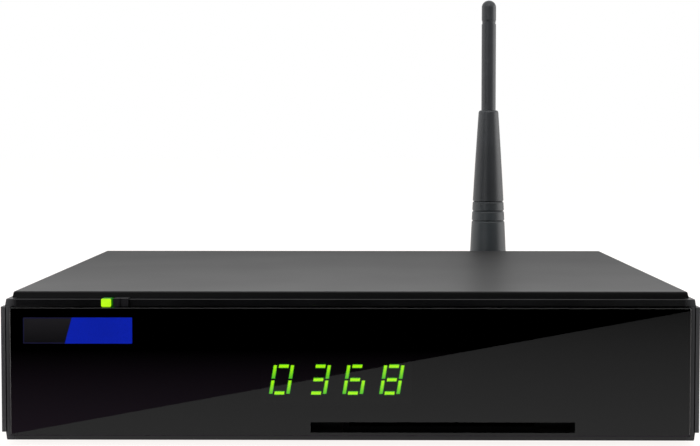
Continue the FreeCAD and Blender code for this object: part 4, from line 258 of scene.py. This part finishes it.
def rubber_skin(graph, tone, roughness, specular):
    """Dull moulded skin with light dust over a tone."""
    graph.set(specular_ior_level=specular)
    skin = graph.grain(0.3 * MM)
    dust = graph.spread(graph.noise(6 * MM, detail=4.0, rough=0.65), 0.45, 0.75, 1.0, 1.3)
    graph.paint(graph.scaled(tone, dust))
    graph.gloss(graph.vary(skin, roughness, 0.1))
    graph.relief(skin, 0.008 * MM)
    return graph.material


def rubber(name, base, roughness, specular):
    return rubber_skin(Graph(name), base, roughness, specular)


def antenna_skin(name, top, middle, foot, roughness, specular):
    """Rubber painted paler at the antenna's top and foot than between them, as painted light."""
    graph = Graph(name)
    height = graph.axis("Z")
    # painted light: the top and foot tones stand in for highlights on the rubber
    upper = graph.blend(graph.spread(height, *PAINTED_LIGHT_TOP), middle, top)
    tone = graph.blend(graph.spread(height, *PAINTED_LIGHT_FOOT), upper, foot)
    return rubber_skin(graph, tone, roughness, specular)


def marked_rocker(name, base, ink):
    """Satin rocker with the usual printed bar and ring for on and off."""
    mark_rise = 3.1 * MM
    bar_half_width = 0.22 * MM
    bar_half_height = 1.1 * MM
    ring_radius = 0.95 * MM
    ring_half_line = 0.2 * MM
    graph = Graph(name)
    low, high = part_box("power_rocker")
    centre = (low + high) / 2
    bar_sideways = graph.within("X", centre.x, bar_half_width)
    bar = graph.times(bar_sideways, graph.within("Z", centre.z + mark_rise, bar_half_height))
    across = graph.offset("X", centre.x)
    upward = graph.offset("Z", centre.z - mark_rise)
    squares = graph.math("ADD", graph.times(across, across), graph.times(upward, upward))
    to_ring = graph.math("ABSOLUTE", graph.math("SUBTRACT", graph.math("SQRT", squares), ring_radius))
    marks = graph.math("MAXIMUM", bar, graph.math("LESS_THAN", to_ring, ring_half_line))
    outside = graph.math("GREATER_THAN", graph.axis("Y"), centre.y)
    worn = graph.spread(graph.noise(0.5 * MM), 0.25, 0.4)
    printed = graph.times(graph.times(marks, outside), worn)
    grain = graph.grain(MOULD_GRAIN)
    graph.paint(graph.blend(printed, base, ink))
    graph.gloss(graph.drift(grain, 0.32, 0.42))
    graph.relief(grain, 0.005 * MM)
    return graph.material


def enamel_plate(name, node, upper, lower, rim):
    """Dark enamel that deepens downward inside a fine blue border."""
    border = 0.3 * MM
    graph = Graph(name)
    low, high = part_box(node)
    centre = (low + high) / 2
    half = (high - low) / 2
    in_width = graph.within("X", centre.x, half.x - border)
    in_height = graph.within("Z", centre.z, half.z - border)
    field = graph.times(in_width, in_height)
    dots = graph.cells(SCREEN_DOT)
    tone = graph.blend(graph.spread(graph.axis("Z"), low.z, high.z), lower, upper)
    screened = graph.scaled(tone, graph.spread(dots, 0.3, 0.8, 1.06, 0.9))
    graph.paint(graph.blend(field, rim, screened))
    graph.set(roughness=0.35, specular_ior_level=0.12)
    graph.relief(dots, 0.002 * MM)
    return graph.material


def printed_enamel(name, base, dark):
    """Print under a clear coat: fine screen dots with darker spots between them."""
    graph = Graph(name)
    dots = graph.cells(SCREEN_DOT)
    tone = graph.scaled(base, graph.vary(graph.noise(8 * MM, detail=2.0), 1.0, 0.06))
    graph.paint(graph.blend(graph.spread(dots, 0.55, 0.75), tone, dark))
    graph.set(roughness=0.32, specular_ior_level=0.08)
    graph.relief(dots, 0.002 * MM)
    return graph.material


# Lights of the front

def display_bars(name, middle, edge, strength):
    """Glowing bars of the slanted digits, deeper green at their long edges and lower ends."""
    dark_edge = 0.52 * BAR_WIDTH
    bright_core = 0.2 * BAR_WIDTH
    foot_level = 0.05
    full_height = 0.85
    graph = Graph(name)
    low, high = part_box("display_lit_segments")
    centre = (low + high) / 2
    half_height = (high.z - low.z) / 2
    upward = graph.offset("Z", centre.z)
    height = graph.math("ABSOLUTE", upward)
    lean = graph.times(upward, math.tan(DIGIT_SLANT))
    sideways = graph.math("SUBTRACT", graph.offset("X", centre.x), lean)
    in_digit = graph.math("SUBTRACT", graph.math("PINGPONG", sideways, DIGIT_PITCH), DIGIT_PITCH / 2)
    side = graph.math("ABSOLUTE", in_digit)
    is_upright = graph.math("GREATER_THAN", side, DIGIT_WIDTH / 2 - BAR_WIDTH)
    is_level = graph.flip(is_upright)
    to_upright = graph.math("ABSOLUTE", graph.math("SUBTRACT", side, (DIGIT_WIDTH - BAR_WIDTH) / 2))
    to_outer = graph.math("ABSOLUTE", graph.math("SUBTRACT", height, half_height - BAR_WIDTH / 2))
    to_level = graph.math("MINIMUM", height, to_outer)
    from_upright = graph.times(to_upright, is_upright)
    from_level = graph.times(to_level, is_level)
    across = graph.math("ADD", from_upright, from_level)
    core = graph.spread(across, dark_edge, bright_core)
    risen = graph.math("ADD", upward, half_height)
    above_foot = graph.math("FRACT", graph.math("DIVIDE", risen, half_height))
    foot = graph.math("MAXIMUM", graph.spread(above_foot, 0.0, full_height, foot_level, 1.0), is_level)
    level = graph.times(graph.times(core, foot), graph.speckle(0.25 * MM))
    graph.paint(colour(shade(edge, 0.3)))
    graph.glow(graph.blend(level, edge, middle), strength)
    graph.set(roughness=0.35)
    return graph.material


def light_guide(name, middle, edge):
    """Frosted light guide: its front face glows, its sides stay deep green."""
    dark_facing = -0.1      # Y of the surface's normal
    full_facing = -0.6
    frost = 0.3 * MM
    graph = Graph(name)
    shape = graph.tree.nodes.new("ShaderNodeNewGeometry")
    facing = graph.node("ShaderNodeSeparateXYZ", Vector=shape.outputs["Normal"]).outputs["Y"]
    forward = graph.spread(facing, dark_facing, full_facing)
    level = graph.times(forward, graph.speckle(frost))
    hot = graph.spread(graph.noise(1.6 * MM, detail=1.0), 0.4, 0.65)
    tone = graph.blend(hot, shade(middle, 0.9), middle)
    graph.paint(colour(shade(edge, 0.5)))
    graph.glow(graph.blend(level, edge, tone), 1.0)
    graph.set(roughness=0.45)
    graph.relief(graph.noise(frost, detail=2.0), 0.004 * MM)
    return graph.material


# Metals

def powder_coat(name, base, front_roughness, rear_roughness, specular):
    """Fine-textured paint on sheet metal with a faint fleck, duller towards the back."""
    graph = Graph(name)
    graph.set(specular_ior_level=specular)
    wide = graph.noise(40 * MM, detail=2.0)
    fleck = graph.spread(graph.noise(0.16 * MM, detail=2.0), 0.3, 0.8, 0.8, 1.35)
    wear = graph.times(graph.spread(wide, 0.35, 0.65, 0.9, 1.1), fleck)
    half_wear = graph.math("SUBTRACT", wear, 0.5)
    graph.paint(graph.blend(half_wear, shade(base, 0.7), shade(base, 1.4)))
    cover_rear = CAD_BOX[1].y - ANTENNA_REACH
    roughness = graph.spread(graph.axis("Y"), CAD_BOX[0].y, cover_rear, front_roughness, rear_roughness)
    graph.gloss(graph.times(roughness, graph.vary(wide, 1.0, 0.03)))
    graph.relief(graph.noise(0.35 * MM, rough=0.55), 0.004 * MM)
    return graph.material


def metal(name, base, roughness, stretch=1.0):
    """Plated or rolled metal with fine lines, drawn out `stretch` times along Y, and slight stain."""
    graph = Graph(name)
    graph.set(metallic=1.0)
    mapping = graph.node("ShaderNodeMapping", Vector=graph.place, Scale=(1.0, 1.0 / stretch, 1.0))
    lines = graph.noise(0.4 * MM, rough=0.6, place=mapping.outputs["Vector"])
    stain = graph.spread(graph.noise(5 * MM), 0.3, 0.75)
    graph.paint(graph.blend(stain, base, shade(base, 0.88)))
    graph.gloss(graph.drift(lines, roughness * 0.8, roughness * 1.25))
    graph.relief(lines, 0.0008 * MM)
    return graph.material


def threaded(name, base, roughness, centre, pitch):
    """Plated thread along Y about a centre (x, z): a helical ridge as relief, with painted shade darkening
    its grooves.
    """
    graph = Graph(name)
    graph.set(metallic=1.0)
    across = graph.offset("X", centre[0])
    upward = graph.offset("Z", centre[1])
    turn = graph.math("DIVIDE", graph.math("ARCTAN2", upward, across), 2 * math.pi)
    phase = graph.math("FRACT", graph.math("ADD", graph.math("DIVIDE", graph.axis("Y"), pitch), turn))
    ridge = graph.math("ABSOLUTE", graph.math("SUBTRACT", phase, 0.5))
    # painted shade: the thread's grooves are painted darker than its crests
    graph.paint(graph.blend(graph.times(ridge, 2.0), shade(base, 0.55), base))
    graph.gloss(graph.drift(graph.noise(3 * MM), roughness * 0.8, roughness * 1.3))
    graph.relief(ridge, pitch / 2)
    return graph.material


def socket(name, node, wall, base, inside):
    """Plated shell of a socket on the rear panel, with dark plastic inside its mouth; the shell's inner metal
    walls there are painted dark too, as painted shade.
    """
    rim = 0.2 * MM
    graph = Graph(name)
    low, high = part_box(node)
    centre = (low + high) / 2
    half = (high - low) / 2
    in_width = graph.within("X", centre.x, half.x - wall)
    in_height = graph.within("Z", centre.z, half.z - wall)
    behind_rim = graph.math("LESS_THAN", graph.axis("Y"), high.y - rim)
    mouth = graph.times(graph.times(in_width, in_height), behind_rim)
    brushed = graph.noise(0.3 * MM, rough=0.6)
    stain = graph.spread(graph.noise(4 * MM), 0.3, 0.75)
    # inside the mouth: dark plastic, and painted shade on the shell's own inner metal walls
    graph.paint(graph.blend(mouth, graph.blend(stain, base, shade(base, 0.86)), inside))
    graph.feed(graph.shader.inputs["Metallic"], graph.flip(mouth))
    graph.gloss(graph.math("ADD", graph.drift(brushed, 0.22, 0.34), graph.times(mouth, 0.2)))
    graph.relief(brushed, 0.001 * MM)
    return graph.material


# Boards and cable

def circuit_board(name, gap, covered):
    """Green solder mask over fields of copper with paler gaps, and the weave of the glass cloth below it."""
    graph = Graph(name)
    copper = graph.spread(graph.cells(3.2 * MM, "DISTANCE_TO_EDGE"), 0.05, 0.09)
    weave = graph.noise(0.5 * MM, detail=2.0)
    graph.paint(graph.blend(copper, gap, covered))
    graph.gloss(graph.drift(weave, 0.25, 0.4))
    graph.relief(copper, 0.03 * MM)
    return graph.material


def printed_film(name, film, conductor):
    """Ribbon cable: parallel tinned lines under clear film."""
    pitch = 1.0 * MM
    line_share = 0.6
    graph = Graph(name)
    phase = graph.math("FRACT", graph.math("DIVIDE", graph.axis("X"), pitch))
    line = graph.math("LESS_THAN", phase, line_share)
    graph.paint(graph.blend(line, film, conductor))
    graph.set(roughness=0.3)
    graph.relief(line, 0.02 * MM)
    return graph.material


# Finishes of the CAD nodes: each slot's material, and nodes whose slot alone isn't enough

GOLD = (0.85, 0.6, 0.24)
NICKEL = (0.56, 0.55, 0.52)
TIN = (0.52, 0.52, 0.5)

SLOT_FINISHES = {
    "black_sheet_metal": (
        powder_coat,
        dict(base=(0.002, 0.002, 0.0022), front_roughness=0.435, rear_roughness=0.59, specular=0.35),
    ),
    "bezel_plastic": (
        bezel_plastic,
        # the lighter cheek tone is a painted highlight
        dict(base=(0.0044, 0.0044, 0.0048), painted_cheek_highlight=(0.035, 0.035, 0.0372), smooth=0.15, dull=0.5),
    ),
    "window_acrylic": (smoked_acrylic, dict(lighter=(0.042, 0.042, 0.042), darker=(0.038, 0.038, 0.038))),
    "emblem_dark": (
        enamel_plate,
        dict(
            node="emblem_plate",
            upper=(0.0115, 0.0107, 0.0127),
            lower=(0.0024, 0.0024, 0.0029),
            rim=(0.006, 0.006, 0.032),
        ),
    ),
    "emblem_blue": (printed_enamel, dict(base=(0.0005, 0.0125, 0.4), dark=(0.0004, 0.0095, 0.335))),
    "light_guide": (light_guide, dict(middle=(0.52, 1.0, 0.0), edge=(0.005, 0.12, 0.0))),
    "button_plastic": (moulded_plastic, dict(base=(0.0028, 0.0028, 0.0042), roughness=0.4)),
    "segment_lit": (display_bars, dict(middle=(0.44, 1.0, 0.002), edge=(0.035, 0.45, 0.02), strength=25.0)),
    "segment_dark": (moulded_plastic, dict(base=(0.006, 0.007, 0.006), roughness=0.7, specular=0.15)),
    "display_plastic": (moulded_plastic, dict(base=(0.005, 0.005, 0.005), roughness=0.7, specular=0.15)),
    "receiver_plastic": (moulded_plastic, dict(base=(0.02, 0.008, 0.012), roughness=0.15)),
    "circuit_board": (circuit_board, dict(gap=(0.02, 0.14, 0.05), covered=(0.008, 0.06, 0.02))),
    "chip_plastic": (moulded_plastic, dict(base=(0.02, 0.02, 0.022), roughness=0.55)),
    "tinned_steel": (metal, dict(base=TIN, roughness=0.3, stretch=0.15)),
    "nickel": (metal, dict(base=NICKEL, roughness=0.2)),
    "gold_plate": (metal, dict(base=GOLD, roughness=0.22)),
    "zinc_screws": (metal, dict(base=(0.6, 0.6, 0.58), roughness=0.3)),
    "black_screws": (metal, dict(base=(0.045, 0.045, 0.05), roughness=0.35)),
    "sink_aluminium": (metal, dict(base=(0.5, 0.51, 0.53), roughness=0.4, stretch=8.0)),
    "capacitor_can": (metal, dict(base=(0.5, 0.5, 0.52), roughness=0.3)),
    "ferrite": (
        moulded_plastic,
        dict(base=(0.05, 0.05, 0.055), roughness=0.7, grain=0.3 * MM, depth=0.02 * MM),
    ),
    "cable_film": (printed_film, dict(film=(0.75, 0.76, 0.74), conductor=(0.5, 0.52, 0.55))),
    "white_plastic": (moulded_plastic, dict(base=(0.7, 0.69, 0.64), roughness=0.5)),
    "port_plastic": (moulded_plastic, dict(base=(0.012, 0.012, 0.013))),
    "lead_jacket": (moulded_plastic, dict(base=(0.02, 0.02, 0.02), roughness=0.35)),
    "foot_rubber": (rubber, dict(base=(0.012, 0.012, 0.012), roughness=0.8, specular=0.3)),
    "antenna_rubber": (
        antenna_skin,
        dict(
            # the paler top and foot tones are painted light
            top=(0.022, 0.025, 0.029),
            middle=(0.0135, 0.0158, 0.0188),
            foot=(0.022, 0.0277, 0.0318),
            roughness=0.41,
            specular=0.72,
        ),
    ),
    "antenna_plastic": (moulded_plastic, dict(base=(0.0255, 0.026, 0.028), roughness=0.38, specular=0.78)),
}
OWN_FINISHES = {
    "hdmi_port": (
        "hdmi_shell",
        socket,
        dict(node="hdmi_port", wall=SHELL_WALL, base=(0.52, 0.51, 0.48), inside=(0.012, 0.012, 0.013)),
    ),
    "usb_ports": (
        "usb_shell",
        socket,
        dict(node="usb_ports", wall=SHELL_WALL, base=TIN, inside=(0.011, 0.011, 0.012)),
    ),
    "lan_jack": (
        "lan_shell",
        socket,
        dict(node="lan_jack", wall=LAN_WALL, base=(0.5, 0.5, 0.48), inside=(0.012, 0.012, 0.013)),
    ),
    "power_rocker": ("rocker_plastic", marked_rocker, dict(base=(0.011, 0.011, 0.012), ink=(0.6, 0.6, 0.58))),
    "power_led": ("led_lens", moulded_plastic, dict(base=(0.02, 0.05, 0.01), roughness=0.3)),
    "card_reader": (
        "reader_plastic",
        moulded_plastic,
        dict(base=(0.0015, 0.0016, 0.0018), roughness=0.8, specular=0.04),
    ),
    "satellite_input": (
        "satellite_thread",
        threaded,
        dict(base=NICKEL, roughness=0.2, centre=SATELLITE_AXIS, pitch=SATELLITE_PITCH),
    ),
    "antenna_jack": (
        "antenna_thread",
        threaded,
        dict(base=GOLD, roughness=0.2, centre=ANTENNA_AXIS, pitch=ANTENNA_PITCH),
    ),
}


def dress_nodes():
    """Gives each CAD node the finish of its slot, or its own."""
    by_slot = {slot: make(slot, **values) for slot, (make, values) in SLOT_FINISHES.items()}
    by_node = {node: make(name, **values) for node, (name, make, values) in OWN_FINISHES.items()}
    for part in frame["record"]["subparts"]:
        finish = by_node.get(part["node"], by_slot[part["material_slot"]])
        piece = NODES[part["node"]]
        piece.data.materials.clear()
        piece.data.materials.append(finish)


# Studio surfaces, in metres: the floor, and cards that only show in reflections

FLOOR_REACH = 6.0
CARD_REACH = 3.0
CARD_LIFT = 0.3 * MM                     # of the lower card above the floor, and of the upper one above that
COVERED = 3 * MM                         # how far those two reach in under the case
GREY_RIGHT = 2.5
GLEAM_NEAR = (-0.1042, -0.1055)          # two points of the grey card's slanting edge, which
GLEAM_FAR = (0.1785, -0.4077)            # draws the diagonal gleam on the window
FRONT_FLAG_Y = -1.4
CEILING_SPAN = (-1.5, 1.5)
CEILING_HEIGHT = 0.8
SIDE_CARDS_Y = -1.3
SIDE_CARDS_HEIGHT = (0.0, 0.6)
LEFT_CARD_SPAN = (-1.25, -0.425)
RIGHT_CARD_SPAN = (0.56, 1.25)
ANTENNA_CARD_X = 0.45
ANTENNA_CARD_SPAN = (-0.06, 0.3)
ANTENNA_CARD_HEIGHT = (0.05, 0.3)
WHITE = (1.0, 1.0, 1.0)


def backdrop_rays(tree):
    """1 for the rays that show a background: camera, gloss and glass."""
    paths = tree.nodes.new("ShaderNodeLightPath")
    total = paths.outputs["Is Camera Ray"]
    for kind in ("Is Glossy Ray", "Is Transmission Ray"):
        either = tree.nodes.new("ShaderNodeMath")
        either.operation = "MAXIMUM"
        tree.links.new(total, either.inputs[0])
        tree.links.new(paths.outputs[kind], either.inputs[1])
        total = either.outputs[0]
    return total


def bare_material(name):
    """A material whose tree holds only its output, with that output's surface socket."""
    material = bpy.data.materials.new(name)
    material.use_nodes = True
    tree = material.node_tree
    tree.nodes.clear()
    output = tree.nodes.new("ShaderNodeOutputMaterial")
    return material, tree, output.inputs["Surface"]


def coloured(tree, kind, value):
    """A shader node of one colour."""
    made = tree.nodes.new(kind)
    made.inputs["Color"].default_value = colour(value)
    return made


def floor_paint(name, shown, glow, bounced):
    """White floor that keeps the object's shadow, and a duller one for bounced light."""
    material, tree, surface = bare_material(name)
    seen = coloured(tree, "ShaderNodeBsdfDiffuse", shown)
    lift = coloured(tree, "ShaderNodeEmission", glow)
    plain = coloured(tree, "ShaderNodeBsdfDiffuse", bounced)
    both = tree.nodes.new("ShaderNodeAddShader")
    choice = tree.nodes.new("ShaderNodeMixShader")
    tree.links.new(seen.outputs[0], both.inputs[0])
    tree.links.new(lift.outputs[0], both.inputs[1])
    tree.links.new(backdrop_rays(tree), choice.inputs[0])
    tree.links.new(plain.outputs[0], choice.inputs[1])
    tree.links.new(both.outputs[0], choice.inputs[2])
    tree.links.new(choice.outputs[0], surface)
    return material


def sheet(name, corners, material):
    """Flat four-cornered piece of the studio."""
    mesh = bpy.data.meshes.new(name)
    mesh.from_pydata([Vector(corner) for corner in corners], [], [(0, 1, 2, 3)])
    piece = bpy.data.objects.new(name, mesh)
    bpy.context.scene.collection.objects.link(piece)
    mesh.materials.append(material)
    return piece


def level_corners(x_span, y_span, z):
    """Corners of a level rectangle."""
    left, right = x_span
    front, rear = y_span
    return [(left, front, z), (right, front, z), (right, rear, z), (left, rear, z)]


def cross_corners(x_span, y, z_span):
    """Corners of an upright rectangle that stands across the view."""
    left, right = x_span
    foot, top = z_span
    return [(left, y, foot), (right, y, foot), (right, y, top), (left, y, top)]


def side_corners(x, y_span, z_span):
    """Corners of an upright rectangle that stands along the view."""
    front, rear = y_span
    foot, top = z_span
    return [(x, front, foot), (x, rear, foot), (x, rear, top), (x, front, top)]


def flag(name, corners, near, far=None, reach=1.0, tint=WHITE):
    """Tinted card that only shows in reflections.

    Its level is `near` all over, or fades from the case's front to `far` at `reach` metres ahead of it.
    """
    material, tree, surface = bare_material(name)
    glow = coloured(tree, "ShaderNodeEmission", tint)
    if far is None:
        glow.inputs["Strength"].default_value = near
    else:
        place = tree.nodes.new("ShaderNodeTexCoord")
        split = tree.nodes.new("ShaderNodeSeparateXYZ")
        fade = tree.nodes.new("ShaderNodeMapRange")
        fade.inputs["From Min"].default_value = CAD_BOX[0].y
        fade.inputs["From Max"].default_value = CAD_BOX[0].y - reach
        fade.inputs["To Min"].default_value = near
        fade.inputs["To Max"].default_value = far
        tree.links.new(place.outputs["Object"], split.inputs[0])
        tree.links.new(split.outputs["Y"], fade.inputs["Value"])
        tree.links.new(fade.outputs[0], glow.inputs["Strength"])
    tree.links.new(glow.outputs[0], surface)
    piece = sheet(name, corners, material)
    piece.visible_camera = False
    piece.visible_diffuse = False
    piece.visible_shadow = False


def floor():
    whole = (-FLOOR_REACH, FLOOR_REACH)
    grey = (0.5, 0.5, 0.5)
    paint = floor_paint("floor_paint", shown=(0.2, 0.2, 0.2), glow=(0.925, 0.893, 0.875), bounced=grey)
    sheet("floor", level_corners(whole, whole, 0.0), paint)


def floor_cards():
    """A dark card before the case, and a grey one above it whose slanting edge shows in the window."""
    edge = CAD_BOX[0].y + COVERED
    dark = level_corners((-CARD_REACH, CARD_REACH), (-CARD_REACH, edge), CARD_LIFT)
    flag("floor_flag", dark, near=0.28, far=0.0, reach=0.18, tint=(0.97, 0.7, 1.0))
    height = 2 * CARD_LIFT
    mark = Vector((*GLEAM_NEAR, height))
    slope = Vector((*GLEAM_FAR, height)) - mark
    # the edge starts a little before the first point and ends just past the second
    start = mark - slope * 0.04
    end = mark + slope * 1.02
    grey = [start, (GREY_RIGHT, edge, height), (GREY_RIGHT, end.y, height), end]
    flag("grey_card", grey, near=0.64, far=0.2, reach=0.33)


def other_cards():
    """What the front, the ends of the frame, the cover and the antenna's right side mirror."""
    flag("front_flag", cross_corners((-CARD_REACH, CARD_REACH), FRONT_FLAG_Y, (0.0, CARD_REACH)), near=0.02)
    flag("ceiling_card", level_corners(CEILING_SPAN, CEILING_SPAN, CEILING_HEIGHT), near=0.762)
    flag("left_card", cross_corners(LEFT_CARD_SPAN, SIDE_CARDS_Y, SIDE_CARDS_HEIGHT), near=1.0)
    flag("right_card", cross_corners(RIGHT_CARD_SPAN, SIDE_CARDS_Y, SIDE_CARDS_HEIGHT), near=0.22)
    antenna_side = side_corners(ANTENNA_CARD_X, ANTENNA_CARD_SPAN, ANTENNA_CARD_HEIGHT)
    flag("antenna_card", antenna_side, near=2.4)


# Lamps, backdrop and camera

CASE_MIDDLE = (0.0, 0.0, 0.02)
LEFT_FRONT = (-0.1, -0.09, 0.02)
WORLD_LIGHT = 0.6
IMAGE_WIDTH = 700                        # in pixels, as the next three
IMAGE_HEIGHT = 446
FOCAL_PIXELS = 1350.1
PRINCIPAL_ROW = 198.3                    # row of the optical axis, from the top
SENSOR_WIDTH = 36.0
CAMERA_PLACE = (3.03 * MM, -484.515 * MM, 89.84 * MM)
CAMERA_YAW = math.radians(0.435)
CAMERA_PITCH = math.radians(2.447)


def lamp(name, place, target, size, power, in_gloss=True):
    """Square softbox that faces a target."""
    data = bpy.data.lights.new(name, "AREA")
    data.shape = "SQUARE"
    data.size = size
    data.energy = power
    holder = bpy.data.objects.new(name, data)
    bpy.context.scene.collection.objects.link(holder)
    holder.location = place
    holder.rotation_mode = "QUATERNION"
    holder.rotation_quaternion = (Vector(target) - Vector(place)).to_track_quat("-Z", "Y")
    holder.visible_glossy = in_gloss


def lamps():
    """Key above the front, a small lamp at the left, and one behind the case."""
    lamp("key", place=(0.0, -0.3, 0.9), target=CASE_MIDDLE, size=0.9, power=5.0)
    lamp("side", place=(-0.35, -0.3, 0.1), target=LEFT_FRONT, size=0.2, power=0.5, in_gloss=False)
    lamp("rear", place=(0.35, 0.9, 0.7), target=CASE_MIDDLE, size=0.7, power=3.0, in_gloss=False)


def world():
    """White backdrop for what the camera, gloss and glass see; softer light on the object."""
    made = bpy.data.worlds.new("studio")
    bpy.context.scene.world = made
    made.use_nodes = True
    tree = made.node_tree
    background = tree.nodes["Background"]
    background.inputs["Color"].default_value = colour(WHITE)
    strength = tree.nodes.new("ShaderNodeMapRange")
    strength.inputs["To Min"].default_value = WORLD_LIGHT
    strength.inputs["To Max"].default_value = 1.0
    tree.links.new(backdrop_rays(tree), strength.inputs["Value"])
    tree.links.new(strength.outputs[0], background.inputs["Strength"])


def camera():
    """Camera 39 cm ahead of the window, above the cover, 3 mm right of the middle, turned a little down."""
    data = bpy.data.cameras.new("camera")
    data.sensor_width = SENSOR_WIDTH
    data.lens = SENSOR_WIDTH * FOCAL_PIXELS / IMAGE_WIDTH
    data.shift_y = (PRINCIPAL_ROW - IMAGE_HEIGHT / 2) / IMAGE_WIDTH
    data.clip_start = 0.01
    data.clip_end = 50.0
    holder = bpy.data.objects.new("camera", data)
    bpy.context.scene.collection.objects.link(holder)
    holder.location = CAMERA_PLACE
    flat = math.cos(CAMERA_PITCH)
    ahead = Vector((-math.sin(CAMERA_YAW) * flat, math.cos(CAMERA_YAW) * flat, -math.sin(CAMERA_PITCH)))
    holder.rotation_mode = "QUATERNION"
    holder.rotation_quaternion = ahead.to_track_quat("-Z", "Y")
    bpy.context.scene.camera = holder


dress_nodes()
floor()
floor_cards()
other_cards()
lamps()
world()
camera()
bpy.context.scene.view_settings.view_transform = "Standard"
